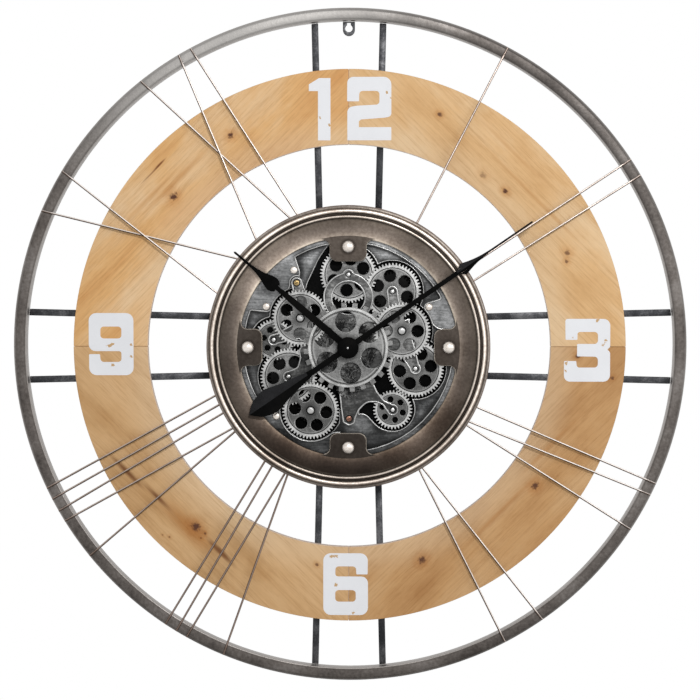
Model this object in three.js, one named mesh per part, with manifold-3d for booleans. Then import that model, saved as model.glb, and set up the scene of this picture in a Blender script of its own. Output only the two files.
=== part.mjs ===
// A gear wall clock: a steel ring, a wooden dial ring and a moving gear train behind a spun bezel.
// Millimetres. The dial group's own axes are x to the right, y up and z from the wall to the viewer;
// it is turned so that the finished clock stands with +Z up and faces -Y, its back on the plane y = 0.

import * as THREE from "three";
import { mergeVertices } from "three/addons/utils/BufferGeometryUtils.js";
import Module from "manifold-3d";

// Clearances
const FACE_GAP = 0.3; // between two pieces that touch on the real clock
const TURN_GAP = 0.35; // round an arbor or pipe that turns
const GEAR_SIDE_GAP = 0.8; // between a gear's face and the plate beside it
const GEAR_TIP_GAP = 2.4; // between a gear's tips and the cut-out round it

// Outer ring and its hanging tab
const RING_RADIUS = 400;
const RING_WIDTH = 15;
const RING_DEPTH = 16;
const RING_ROUNDING = 4.5;
const RING_SEGMENTS = 72;
const TAB_WIDTH = 14.3;
const TAB_LENGTH = 17.5;
const TAB_THICKNESS = 2;
const TAB_BACK = 2;
const KEYHOLE_RADIUS = 4.4;
const KEYHOLE_NECK_WIDTH = 4.4;
const KEYHOLE_END_DISTANCE = 9.1; // from the round hole's centre to the tab's end
const KEYHOLE_NECK_TOP = 1.2; // from the neck's top to the tab's top edge

// Straps behind the dial
const STRAP_WIDTH = 8;
const STRAP_THICKNESS = 3;
const STRAP_BACK = 2.2;
const STRAP_OFFSET_AT_RING = 40.5;
const STRAP_OFFSET_AT_DRUM = 35.2;

// Wooden dial ring in four quadrants
const WOOD_RADIUS = 328;
const WOOD_BORE_RADIUS = 239;
const WOOD_THICKNESS = 9;
const WOOD_CHAMFER = 1;
const WOOD_JOINT_GAP = 0.3;
const WOOD_STEPS = 18;

// Rods that form the other hour marks, by clock angle in degrees at the ring and at the bezel's rim
const ROD_RADIUS = 1.25;
const ROD_SIDES = 8;
const ROD_RING_INSET = 1.5; // from the ring's edge in to the rods' outer ends
const ROD_RIM_DISTANCE = 2; // from the bezel's edge out to where the inner clock angles are taken
const ROD_RISE = 10;
const SINGLE_RODS = [
  ["rod_1_stroke", 28.0, 28.9],
  ["rod_2_left", 56.4, 56.1],
  ["rod_2_right", 59.5, 62.0],
  ["rod_4_first_stroke", 114.0, 115.0],
  ["rod_7_third_stroke", 211.2, 212.6],
  ["rod_7_fourth_stroke", 213.4, 216.1],
  ["rod_8_third_stroke", 240.4, 242.1],
  ["rod_8_fourth_stroke", 242.7, 245.8],
  ["rod_8_fifth_stroke", 244.8, 249.8],
  ["rod_11_last_stroke", 332.05, 338.8],
];
const V_RODS = [
  ["rods_4_v", [116.1, 121.6], [122.9, 123.4]],
  ["rods_5_v", [144.6, 148.4], [152.1, 150.0]],
  ["rods_7_v", [202.1, 205.4], [209.15, 206.7]],
  ["rods_8_v", [231.0, 233.2], [238.4, 234.9]],
];
const X_RODS = [
  ["rods_10_x", [293.8, 308.3], [301.5, 292.5]],
  ["rods_11_x", [321.9, 335.4], [329.8, 319.6]],
];
const WELD_BEAD_RADIUS = 2.6;

// Housing drum, back cover and bezel
const DRUM_RADIUS = 160;
const DRUM_WALL = 1.5;
const DRUM_SEAT_WIDTH = 4;
const COVER_THICKNESS = 2;
const DISC_SEGMENTS = 48;
const BEZEL_OVERHANG = 7; // how far the bezel stands out past the drum
const BEZEL_SHEET = 1.8;
const BEZEL_BACK = 34;
const BEZEL_SHOULDER = 41;
const BEAD_INSET = 6.7; // from the bezel's edge in to the outer bead
const BEAD_SPACING = 6.7;
const BEAD_HEIGHT = 3.4;
const BEAD_HALF_WIDTH = 3;
const BEZEL_SLOPE_WIDTH = 24.8; // from the inner bead down to the window's edge
const WINDOW_EDGE_FRONT = 38.4;
const BEZEL_TAB_WIDTH = 43.5;
const BEZEL_TAB_LENGTH = 27.8;
const BEZEL_TAB_CORNER = 9;
const BEZEL_TAB_FLARE = 11; // radius of the fillet where a tab leaves the window's edge
const RIVET_RADIUS = 7.4;
const RIVET_HEIGHT = 5;
const RIVET_INSET = 10.6; // from the window's edge in to the rivets

// Plates
const BASE_PLATE_BACK = 20;
const BASE_PLATE_THICKNESS = 2;
const SURROUND_BACK = 23;
const SURROUND_THICKNESS = 2;
const FRONT_PLATE_BACK = 30.6;
const FRONT_PLATE_THICKNESS = 1.6;
const FRONT_PLATE_RIM_SHOWS = 5.6; // how much of the plate's rim shows inside the window
const PLATE_LOBE_RADIUS = 6.3;
const SURROUND_EDGE_GAP = 4; // between the drum's wall and each plate's edge
const FRONT_PLATE_EDGE_GAP = 5;
const SPACER_RADIUS = 3;
const SPACER_INSET = 16.5; // from the drum's wall in to the spacers
const SURROUND_OPENING_RADIUS = 84;
const SURROUND_FOOT = [24, 22]; // width and height of the foot that reaches in at 6 o'clock
const SURROUND_NOTCH = [[12.6, -78.4], [31.6, -95.5], [36, -84], [32, -72], [12.6, -70]];
// Each lobed area's edge on the front plate, as [x, y, fillet radius]
const AREA_AT_3_EDGE = [[110, 64, 5], [108.5, 57, 5], [97, 52.5]];
const AREA_AT_3_LOBE = [95.4, 46.8];
const AREA_AT_3_END = [105, 21.5];
const AREA_AT_7_START = [-9.5, -100];
const AREA_AT_9_EDGE = [[-119, 36], [-117.5, 43, 6], [-101, 43]];
const AREA_AT_9_LOBE = [-96.5, 47.5];
const AREA_AT_10_END = [-56.5, 88];

// Gear train
const MODULE = 1.32;
const TOOTH_ADDENDUM = 0.85;
const TOOTH_DEDENDUM = 2.1;
const TOOTH_TIP_SHARE = 0.2; // tooth width at the tip, as a share of the pitch
const WHEEL_TEETH = 50;
const SMALL_WHEEL_TEETH = 36;
const LEAST_WHEEL_TEETH = 34;
const GEAR_THICKNESS = 3;
const REAR_LAYER = BASE_PLATE_BACK + BASE_PLATE_THICKNESS + 1.5 * GEAR_SIDE_GAP;
const MIDDLE_LAYER = REAR_LAYER + GEAR_THICKNESS + GEAR_SIDE_GAP;
const BRIDGE_BACK = MIDDLE_LAYER + GEAR_THICKNESS + GEAR_SIDE_GAP;
const BRIDGE_THICKNESS = 1.6;
const FRONT_LAYER = BRIDGE_BACK + BRIDGE_THICKNESS + GEAR_SIDE_GAP;
const ARBOR_RADIUS = 2.5;
const ARBOR_HEAD_RADIUS = 4;
const ARBOR_HEAD_HEIGHT = 1.4;
const PIVOT_RADIUS = 1.6;
const DRIVE_PINION_THICKNESS = 2.6;
const WHEEL_HOLES = 6;
const WHEEL_HOLE_RADIUS = 7.3;
const WHEEL_HOLE_CIRCLE = 18.6;
const SMALL_WHEEL_HOLES = 6;
const SMALL_WHEEL_HOLE_RADIUS = 3.6;
const SMALL_WHEEL_HOLE_CIRCLE = 12.4;

// Each gear: its wheel, its layer, the pinion behind it, and the gear it meshes with, at a bearing
// from that gear in degrees anticlockwise from 3 o'clock. "with" says which wheels mesh.
const TRAIN = {
  gear_at_2: { teeth: WHEEL_TEETH, layer: "front", pinion: 22, pinionLayer: "middle",
    on: "centre_gear", bearing: 17.11, with: ["wheel", "wheel"], holeTurn: 59 },
  gear_at_10: { teeth: WHEEL_TEETH, layer: "front", pinion: 26, pinionLayer: "rear",
    on: "centre_gear", bearing: 148.7, with: ["wheel", "wheel"], holeTurn: 29 },
  drive_pinion: { teeth: 20, layer: "front",
    on: "centre_gear", bearing: -90, with: ["wheel", "wheel"] },
  gear_at_1: { teeth: WHEEL_TEETH, layer: "middle", pinion: 34, pinionLayer: "rear",
    on: "gear_at_2", bearing: 103.61, with: ["pinion", "wheel"], holeTurn: 39 },
  gear_at_4: { teeth: WHEEL_TEETH, layer: "middle",
    on: "gear_at_2", bearing: -70.35, with: ["pinion", "wheel"], holeTurn: 9 },
  gear_at_5: { teeth: LEAST_WHEEL_TEETH, layer: "middle",
    on: "gear_at_4", bearing: -118.75, with: ["wheel", "wheel"], holeTurn: 43 },
  gear_at_12: { teeth: WHEEL_TEETH, layer: "rear",
    on: "gear_at_1", bearing: 158.97, with: ["pinion", "wheel"], holeTurn: 23 },
  gear_at_9: { teeth: SMALL_WHEEL_TEETH, layer: "rear",
    on: "gear_at_10", bearing: -140.93, with: ["pinion", "wheel"], holeTurn: 51 },
  gear_at_8: { teeth: WHEEL_TEETH, layer: "middle", pinion: 35, pinionLayer: "rear",
    on: "gear_at_9", bearing: -67.98, with: ["wheel", "pinion"], holeTurn: 6 },
  gear_at_7: { teeth: WHEEL_TEETH, layer: "front", pinion: 22, pinionLayer: "middle",
    on: "gear_at_8", bearing: -56.41, with: ["wheel", "pinion"], holeTurn: 53 },
};

// Centre gear: a coarse face gear in front, and the wheel that drives the train behind it
const FACE_GEAR_TEETH = 24;
const FACE_GEAR_TIP_RADIUS = 52.7;
const FACE_GEAR_ROOT_RADIUS = 47;
const FACE_GEAR_THICKNESS = 3.6;
const FACE_GEAR_TIP_SHARE = 0.42;
const FACE_GEAR_ROOT_SHARE = 0.52;
const FACE_GEAR_HOLES = 6;
const FACE_GEAR_HOLE_RADIUS = 12.4;
const FACE_GEAR_HOLE_CIRCLE = 30.3;
const FACE_GEAR_HOLE_TURN = 95.7;
const FACE_GEAR_BORE_RADIUS = 5;

// Train bridge
const BRIDGE_CENTRE_RADIUS = 44;
const BRIDGE_END_RADIUS = 6.9;
const ARCH_INNER_RADIUS = 19.2;
const ARCH_OUTER_RADIUS = 29.7;
const ARCH_CENTRE_HEIGHT = 58.3;
const GOLD_SCREW_PLACE = [-60.8, 75.7];
const COPPER_SCREW_PLACE = [0.9, -84.5];
// Outlines between the bridge's round middle and its arms, as [x, y, fillet radius]
const BRIDGE_TOP_NECK = { foot: [17, 80.5], headHalf: 6.6, headRise: 2 };
const BRIDGE_LEFT_WEB = [[-46, 5, 4], [-59, 0, 8], [-57, -13, 6], [-60, -24, 6], [-71, -28.5], [-68, -41],
  [-40, -34]];
const BRIDGE_LOWER_WEB = [[-12, -40], [28, -39], [34, -52, 12], [42, -62.5, 10], [52, -67.5], [46, -76.5],
  [40.5, -68, 7], [33, -65, 9], [22, -65, 12], [13, -74, 12], [8.6, -84, 8], [7.6, -90, 4], [0.8, -93.4, 6],
  [-6.5, -89, 4], [-8, -78], [-9, -72]];
const BRIDGE_RIGHT_LINK = [[38, 22], [72, 34], [74, 4], [40, -16]];
const BRIDGE_LEFT_LINK = [[-40, 20], [-44, 48], [-68, 42], [-66, 16], [-42, -4]];
// Arms: where each starts, the arbor or screw at its end, and its widths at both ends
const BRIDGE_ARMS = [
  { from: [57, 24], to: "gear_at_1", widths: [14, 13] },
  { from: [62, 12], to: "gear_at_4", widths: [26, 11.2] },
  { from: [45, -68], to: "gear_at_5", widths: [9, 11] },
  { from: [-58, -30], to: "gear_at_8", widths: [10, 11.2] },
  { from: [-52, 22], to: "gear_at_9", widths: [22, 11.2] },
  { from: [-50, 40], to: GOLD_SCREW_PLACE, widths: [16, 13.2] },
];

// Hands
const HAND_THICKNESS = 1.2;
const HAND_GAP = 1.6;
const HOUR_HAND_BACK = 48;
const HOUR_HAND_LENGTH = 174.5;
const HOUR_HAND_CLOCK_ANGLE = 310.1;
const HOUR_BAR_WIDTH = 8.2;
const HOUR_BAR_END_WIDTH = 5.4;
const HOUR_SPADE_WIDTH = 17.4;
const HOUR_SPADE_AT = 115;
const MINUTE_HAND_LENGTH = 261;
const MINUTE_HAND_CLOCK_ANGLE = 55.6;
const MINUTE_BAR_WIDTH = 6.7;
const MINUTE_BAR_END_WIDTH = 5.2;
const MINUTE_SPADE_WIDTH = 14;
const MINUTE_SPADE_AT = 164;
const MINUTE_TAIL_LENGTH = 140;
const MINUTE_TAIL_WIDTH = 30;
const MINUTE_TAIL_WIDEST_AT = 111;
const HAND_POINT_WIDTH = 2.5;
const HAND_HUB_RADIUS = 11;
const HUB_CAP_RADIUS = 12.6;
const HUB_CAP_HEIGHT = 3;
const MINUTE_ARBOR_RADIUS = 1.6;
const HOUR_PIPE_RADIUS = 2.9;
const BUSH_WALL = 1.1;
const BUSH_FRONT = 43;
const PIPE_SEAT_DEPTH = 8; // how far the hour pipe goes down the bush
const SHAFT_SEAT_DEPTH = 4; // how far a shaft goes into the movement or the motor

// Quartz movement, gear motor, battery box and cells
const MOVEMENT_SIDE = 56;
const CELL_RADIUS = 7;
const CELL_LENGTH = 50;
const CELL_CONTACT_RADIUS = 2.7;
const CELL_CONTACT_HEIGHT = 1.2;
const CELL_GAP = 0.3;
const CELL_HEIGHT_IN_MOVEMENT = -15;
const KNOB_RADIUS = 6;
const KNOB_THICKNESS = 3;
const KNOB_TEETH = 12;
const KNOB_STEM_RADIUS = 2;
const KNOB_STEM_LENGTH = 2.4;
const KNOB_PLACE = [0, 17];
const BATTERY_BOX_WIDTH = 72;
const BATTERY_BOX_HEIGHT = 24;
const BATTERY_BOX_CENTRE = [0, -104];
const BOX_WALL = 1.6;
const LID_THICKNESS = 1.2;
const LID_OVERLAP = 3;
const LID_TRAVEL = 22;
const LID_RIB = { width: 1.2, height: 12, pitch: 4, rise: 1.4, count: 3, fromEnd: 4 };
const MOTOR_WIDTH = 30;
const MOTOR_HEIGHT = 32;
const MOTOR_DROP = 6; // from the shaft down to the gearbox's middle
const MOTOR_CAN_RADIUS = 8;
const MOTOR_CAN_LENGTH = 34;
const SWITCH_PLACE = [58, -104];
const SWITCH_SLOT = [14, 6];
const SWITCH_KNOB = [6, 5];
const SWITCH_FLANGE = [10, 9, 2]; // width, height and thickness behind the slot
const SWITCH_KNOB_BACK = 0.6;
const WINDOW_MARGIN = 1; // between a piece and the opening in the back cover round it

const HAND_LAYER = HOUR_HAND_BACK + HAND_THICKNESS + HAND_GAP;
const MOVEMENT_BACK = COVER_THICKNESS + FACE_GAP;
const MOVEMENT_FRONT = BASE_PLATE_BACK - FACE_GAP;
const BASE_PLATE_FRONT = BASE_PLATE_BACK + BASE_PLATE_THICKNESS;
const POST_PLACES = [GOLD_SCREW_PLACE, COPPER_SCREW_PLACE];
const DRUM_BORE_RADIUS = DRUM_RADIUS - DRUM_WALL;
const BEZEL_RADIUS = DRUM_RADIUS + BEZEL_OVERHANG;
const OUTER_BEAD_RADIUS = BEZEL_RADIUS - BEAD_INSET;
const INNER_BEAD_RADIUS = OUTER_BEAD_RADIUS - BEAD_SPACING;
const WINDOW_RADIUS = INNER_BEAD_RADIUS - BEZEL_SLOPE_WIDTH;
const BEZEL_TAB_REACH = WINDOW_RADIUS - BEZEL_TAB_LENGTH; // radius of the tab's inner edge
const RIVET_CIRCLE = WINDOW_RADIUS - RIVET_INSET;
const FRONT_PLATE_RIM = WINDOW_RADIUS - FRONT_PLATE_RIM_SHOWS;
const SPACER_CIRCLE = DRUM_BORE_RADIUS - SPACER_INSET;
const ROD_OUTER_REACH = RING_RADIUS - ROD_RING_INSET;
const ROD_MEASURED_INNER = BEZEL_RADIUS + ROD_RIM_DISTANCE;
const DRUM_FRONT = BEZEL_SHOULDER - BEZEL_SHEET - 1 - FACE_GAP;
const RING_BORE_RADIUS = RING_RADIUS - RING_WIDTH;
const BUSH_RADIUS = HOUR_PIPE_RADIUS + TURN_GAP + BUSH_WALL;
const LAYER_BACK = { rear: REAR_LAYER, middle: MIDDLE_LAYER, front: FRONT_LAYER };
const FACE_GEAR_BACK = FRONT_LAYER + GEAR_THICKNESS;

const wasm = await Module();
wasm.setup();

const finish = (color, roughness, metalness) =>
  new THREE.MeshStandardMaterial({ color, roughness, metalness });
const FINISHES = {
  pewter: () => finish(0x9b978f, 0.45, 0.9),
  bronze: () => finish(0x6f655c, 0.42, 0.9),
  nickel: () => finish(0xb9a99c, 0.3, 1),
  silver: () => finish(0xa7aaa9, 0.38, 0.95),
  gunmetal: () => finish(0x2d2d2e, 0.5, 0.8),
  wood: () => finish(0xd3aa76, 0.65, 0),
  black: () => finish(0x151515, 0.6, 0.2),
  brass: () => finish(0xb08d4a, 0.35, 1),
  plastic: () => finish(0x1c1c1d, 0.55, 0),
  cell: () => finish(0x8f8f8a, 0.35, 0.6),
};

const radians = (degrees) => (degrees * Math.PI) / 180;
const polar = (radius, angle, centre = [0, 0]) =>
  [centre[0] + radius * Math.cos(angle), centre[1] + radius * Math.sin(angle)];
const clockPoint = (radius, clockDegrees) => polar(radius, radians(90 - clockDegrees));
const distance = (a, b) => Math.hypot(a[0] - b[0], a[1] - b[1]);

// Points on an arc from one angle to another, both in radians
function arcPoints(centre, radius, from, to, steps) {
  const points = [];
  for (let i = 0; i <= steps; i += 1) points.push(polar(radius, from + ((to - from) * i) / steps, centre));
  return points;
}

const circle = (centre, radius, steps) =>
  arcPoints(centre, radius, 0, 2 * Math.PI * (1 - 1 / steps), steps - 1);

// An outline whose corners are [x, y, fillet radius]; a corner without a radius stays sharp
function rounded(corners, steps = 4) {
  const outline = [];
  corners.forEach((corner, i) => {
    const before = corners[(i + corners.length - 1) % corners.length];
    const after = corners[(i + 1) % corners.length];
    const radius = corner[2] ?? 0;
    if (radius === 0) {
      outline.push([corner[0], corner[1]]);
      return;
    }
    const toward = (other) => {
      const length = distance(corner, other);
      return [(other[0] - corner[0]) / length, (other[1] - corner[1]) / length];
    };
    const [a, b] = [toward(before), toward(after)];
    const half = Math.acos(THREE.MathUtils.clamp(a[0] * b[0] + a[1] * b[1], -1, 1)) / 2;
    const room = Math.min(distance(corner, before), distance(corner, after)) / 2;
    const reach = Math.min(radius / Math.tan(half), room);
    const start = [corner[0] + a[0] * reach, corner[1] + a[1] * reach];
    const end = [corner[0] + b[0] * reach, corner[1] + b[1] * reach];
    const curve = new THREE.QuadraticBezierCurve(
      new THREE.Vector2(...start), new THREE.Vector2(corner[0], corner[1]), new THREE.Vector2(...end));
    curve.getPoints(steps).forEach((p) => outline.push([p.x, p.y]));
  });
  return outline;
}

// A plate of this outline between two heights
function prism(outline, back, thickness, holes = []) {
  const shape = new THREE.Shape(outline.map(([x, y]) => new THREE.Vector2(x, y)));
  holes.forEach((hole) => shape.holes.push(new THREE.Path(hole.map(([x, y]) => new THREE.Vector2(x, y)))));
  const geometry = new THREE.ExtrudeGeometry(shape, { depth: thickness, bevelEnabled: false, steps: 1 });
  return geometry.translate(0, 0, back);
}

const disc = (centre, radius, back, thickness, steps) =>
  prism(circle(centre, radius, steps), back, thickness);

const block = (centre, width, height, back, thickness) =>
  new THREE.BoxGeometry(width, height, thickness).translate(centre[0], centre[1], back + thickness / 2);

// A turned shape about the dial's axis, from a closed profile of [radius, z]
function turned(profile, segments) {
  const points = [...profile, profile[0]].map(([r, z]) => new THREE.Vector2(r, z));
  return new THREE.LatheGeometry(points, segments).rotateX(Math.PI / 2);
}

function solid(geometry) {
  const bare = geometry.index ? geometry.toNonIndexed() : geometry.clone();
  bare.deleteAttribute("normal");
  bare.deleteAttribute("uv");
  const merged = mergeVertices(bare, 1e-4);
  let manifold = new wasm.Manifold(new wasm.Mesh({
    numProp: 3,
    vertProperties: new Float32Array(merged.attributes.position.array),
    triVerts: new Uint32Array(merged.index.array),
  }));
  if (manifold.volume() < 0) manifold = solid(flipped(merged));
  return manifold;
}

function flipped(geometry) {
  const index = Array.from(geometry.index.array);
  for (let i = 0; i < index.length; i += 3) [index[i], index[i + 1]] = [index[i + 1], index[i]];
  const copy = geometry.clone();
  copy.setIndex(index);
  return copy;
}

const join = (...geometries) => geometries.map(solid).reduce((sum, next) => sum.add(next));
const cut = (body, ...tools) => tools.map(solid).reduce((rest, tool) => rest.subtract(tool), body);

function geometryOf(manifold) {
  const mesh = manifold.getMesh();
  const geometry = new THREE.BufferGeometry();
  geometry.setAttribute("position", new THREE.BufferAttribute(new Float32Array(mesh.vertProperties), 3));
  geometry.setIndex(new THREE.BufferAttribute(new Uint32Array(mesh.triVerts), 1));
  geometry.computeVertexNormals();
  return geometry;
}

const clock = new THREE.Group();
const dial = new THREE.Group();
dial.rotation.x = Math.PI / 2;
clock.add(dial);

function add(name, shape, finishName, place = [0, 0, 0], turn = 0) {
  const geometry = shape.isBufferGeometry ? shape : geometryOf(shape);
  const mesh = new THREE.Mesh(geometry, FINISHES[finishName]());
  mesh.name = name;
  mesh.position.set(...place);
  mesh.rotation.z = turn;
  dial.add(mesh);
  return mesh;
}

// Outer ring with a rounded front edge
function outerRing() {
  const corner = [RING_RADIUS - RING_ROUNDING, RING_DEPTH - RING_ROUNDING];
  return turned([
    [RING_BORE_RADIUS, 0],
    [RING_RADIUS, 0],
    ...arcPoints(corner, RING_ROUNDING, 0, Math.PI / 2, 2),
    [RING_BORE_RADIUS, RING_DEPTH],
  ], RING_SEGMENTS);
}

// Hanging tab: a round-ended plate inside the ring at 12, with a keyhole whose neck points up
function hangingTab() {
  const top = RING_BORE_RADIUS * Math.cos(Math.PI / RING_SEGMENTS) - FACE_GAP;
  const half = TAB_WIDTH / 2;
  const end = RING_BORE_RADIUS - TAB_LENGTH;
  const outline = [
    [half, top],
    [-half, top],
    ...arcPoints([0, end + half], half, Math.PI, 2 * Math.PI, 10),
  ];
  const hole = [0, end + KEYHOLE_END_DISTANCE];
  const neckHalf = KEYHOLE_NECK_WIDTH / 2;
  const neckAngle = Math.asin(neckHalf / KEYHOLE_RADIUS);
  const keyhole = [
    ...arcPoints(hole, KEYHOLE_RADIUS, Math.PI / 2 + neckAngle, 2.5 * Math.PI - neckAngle, 14),
    [neckHalf, top - KEYHOLE_NECK_TOP],
    [-neckHalf, top - KEYHOLE_NECK_TOP],
  ];
  return prism(outline, TAB_BACK, TAB_THICKNESS, [keyhole]);
}

// Where the line from one point towards another meets a circle about the dial's centre
function onCircle(from, towards, radius) {
  const length = distance(from, towards);
  const [dx, dy] = [(towards[0] - from[0]) / length, (towards[1] - from[1]) / length];
  const along = from[0] * dx + from[1] * dy;
  const reach = -along + Math.sqrt(along * along - distance(from, [0, 0]) ** 2 + radius * radius);
  return [from[0] + dx * reach, from[1] + dy * reach];
}

// One flat strap beside 12 o'clock; side is 1 to the right and -1 to the left
function strap(side) {
  const inner = DRUM_RADIUS + FACE_GAP;
  const outer = RING_BORE_RADIUS * Math.cos(Math.PI / RING_SEGMENTS) - FACE_GAP;
  const half = STRAP_WIDTH / 2;
  const edge = (offset) => {
    const low = [side * STRAP_OFFSET_AT_DRUM + offset, 0];
    const high = [side * STRAP_OFFSET_AT_RING + offset, RING_BORE_RADIUS];
    const lean = (side * (STRAP_OFFSET_AT_RING - STRAP_OFFSET_AT_DRUM)) / (RING_BORE_RADIUS - DRUM_RADIUS);
    low[0] -= lean * DRUM_RADIUS;
    return [onCircle(low, high, inner), onCircle(low, high, outer)];
  };
  const [left, right] = [edge(-half), edge(half)];
  return prism([left[0], right[0], right[1], left[1]], STRAP_BACK, STRAP_THICKNESS);
}

// A quarter of the wooden ring, in the first quadrant, with a chamfered front
function woodQuadrant() {
  const layer = (inset, gap) => {
    const [outer, inner] = [WOOD_RADIUS - inset, WOOD_BORE_RADIUS + inset];
    const [outerTrim, innerTrim] = [Math.asin(gap / outer), Math.asin(gap / inner)];
    return [
      ...arcPoints([0, 0], outer, outerTrim, Math.PI / 2 - outerTrim, WOOD_STEPS),
      ...arcPoints([0, 0], inner, Math.PI / 2 - innerTrim, innerTrim, WOOD_STEPS),
    ];
  };
  const back = STRAP_BACK + STRAP_THICKNESS + FACE_GAP;
  return lofted([
    [layer(0, WOOD_JOINT_GAP / 2), back],
    [layer(0, WOOD_JOINT_GAP / 2), back + WOOD_THICKNESS - WOOD_CHAMFER],
    [layer(WOOD_CHAMFER, WOOD_JOINT_GAP / 2 + WOOD_CHAMFER / 2), back + WOOD_THICKNESS],
  ]);
}

// A solid through a stack of outlines with as many points each
function lofted(layers) {
  const count = layers[0][0].length;
  const positions = layers.flatMap(([outline, z]) => outline.flatMap(([x, y]) => [x, y, z]));
  const index = [];
  for (let k = 0; k + 1 < layers.length; k += 1) {
    for (let i = 0; i < count; i += 1) {
      const [a, b] = [k * count + i, k * count + ((i + 1) % count)];
      index.push(a, b, b + count, a, b + count, a + count);
    }
  }
  const caps = (layer, offset, reverse) => {
    const outline = layer[0].map(([x, y]) => new THREE.Vector2(x, y));
    THREE.ShapeUtils.triangulateShape(outline, []).forEach(([a, b, c]) => {
      index.push(...(reverse ? [c, b, a] : [a, b, c]).map((i) => i + offset));
    });
  };
  caps(layers[0], 0, true);
  caps(layers[layers.length - 1], (layers.length - 1) * count, false);
  const geometry = new THREE.BufferGeometry();
  geometry.setAttribute("position", new THREE.Float32BufferAttribute(positions, 3));
  geometry.setIndex(index);
  geometry.computeVertexNormals();
  return geometry;
}

const ROD_SEAT = RING_DEPTH + FACE_GAP + ROD_RADIUS;

// The two ends of a rod's centre line: on the ring's front face, and at the drum's wall behind the bezel
function rodEnds([outerAngle, innerAngle]) {
  const outer = clockPoint(RING_RADIUS, outerAngle);
  const inner = clockPoint(ROD_MEASURED_INNER, innerAngle);
  const start = onCircle([inner[0], inner[1]], outer, ROD_OUTER_REACH);
  const drumEnd = DRUM_RADIUS + FACE_GAP;
  const length = distance(outer, inner);
  const direction = [(inner[0] - outer[0]) / length, (inner[1] - outer[1]) / length];
  const along = start[0] * direction[0] + start[1] * direction[1];
  const reach = -along - Math.sqrt(along * along - ROD_OUTER_REACH ** 2 + drumEnd * drumEnd);
  const end = [start[0] + direction[0] * reach, start[1] + direction[1] * reach];
  return [start, end];
}

function rodThrough(points) {
  const vectors = points.map((p) => new THREE.Vector3(...p));
  const path = vectors.length === 2 ? new THREE.LineCurve3(...vectors) : new THREE.CatmullRomCurve3(vectors);
  const outline = circle([0, 0], ROD_RADIUS, ROD_SIDES).map(([x, y]) => new THREE.Vector2(x, y));
  const section = new THREE.Shape(outline);
  const steps = vectors.length === 2 ? 1 : 8;
  return new THREE.ExtrudeGeometry(section, { extrudePath: path, steps, bevelEnabled: false });
}

function rod(angles) {
  const [outer, inner] = rodEnds(angles);
  return rodThrough([[...outer, ROD_SEAT], [...inner, ROD_SEAT + ROD_RISE]]);
}

// Two rods that nearly meet behind the bezel's rim, welded there
function rodPair(first, second) {
  const [, innerA] = rodEnds(first);
  const [, innerB] = rodEnds(second);
  const middle = [(innerA[0] + innerB[0]) / 2, (innerA[1] + innerB[1]) / 2];
  const outward = Math.hypot(...middle);
  const scale = (outward + WELD_BEAD_RADIUS) / outward;
  const bead = new THREE.SphereGeometry(WELD_BEAD_RADIUS, 6, 4);
  bead.translate(middle[0] * scale, middle[1] * scale, ROD_SEAT + ROD_RISE);
  return join(rod(first), rod(second), bead);
}

// Where two rods cross, as a share of the way along each
function crossing([a, b], [c, d]) {
  const [rx, ry, sx, sy] = [b[0] - a[0], b[1] - a[1], d[0] - c[0], d[1] - c[1]];
  const cross = rx * sy - ry * sx;
  const [qx, qy] = [c[0] - a[0], c[1] - a[1]];
  return [(qx * sy - qy * sx) / cross, (qx * ry - qy * rx) / cross];
}

// Two crossed rods; the second rides over the first and is welded to it
function crossedRods(first, second) {
  const [lower, upper] = [rodEnds(first), rodEnds(second)];
  const [lowerShare, upperShare] = crossing(lower, upper);
  const lift = ROD_SEAT + lowerShare * ROD_RISE + 1.6 * ROD_RADIUS;
  const at = (share) => [0, 1].map((k) => upper[0][k] + share * (upper[1][k] - upper[0][k]));
  return join(rod(first), rodThrough([
    [...upper[0], ROD_SEAT],
    [...at(upperShare), lift],
    [...upper[1], ROD_SEAT + ROD_RISE],
  ]));
}

// Housing drum: a tube with a step inside that the base plate seats on
function housingDrum() {
  const back = COVER_THICKNESS + FACE_GAP;
  const seat = BASE_PLATE_BACK - FACE_GAP;
  return turned([
    [DRUM_BORE_RADIUS - DRUM_SEAT_WIDTH, back],
    [DRUM_RADIUS, back],
    [DRUM_RADIUS, DRUM_FRONT],
    [DRUM_BORE_RADIUS, DRUM_FRONT],
    [DRUM_BORE_RADIUS, seat],
    [DRUM_BORE_RADIUS - DRUM_SEAT_WIDTH, seat],
  ], DISC_SEGMENTS);
}

const bead = (radius) => arcPoints([radius, 0], 1, 0, Math.PI, 3)
  .map(([x, y]) => [radius + (x - radius) * BEAD_HALF_WIDTH, BEZEL_SHOULDER + y * BEAD_HEIGHT]);

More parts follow.
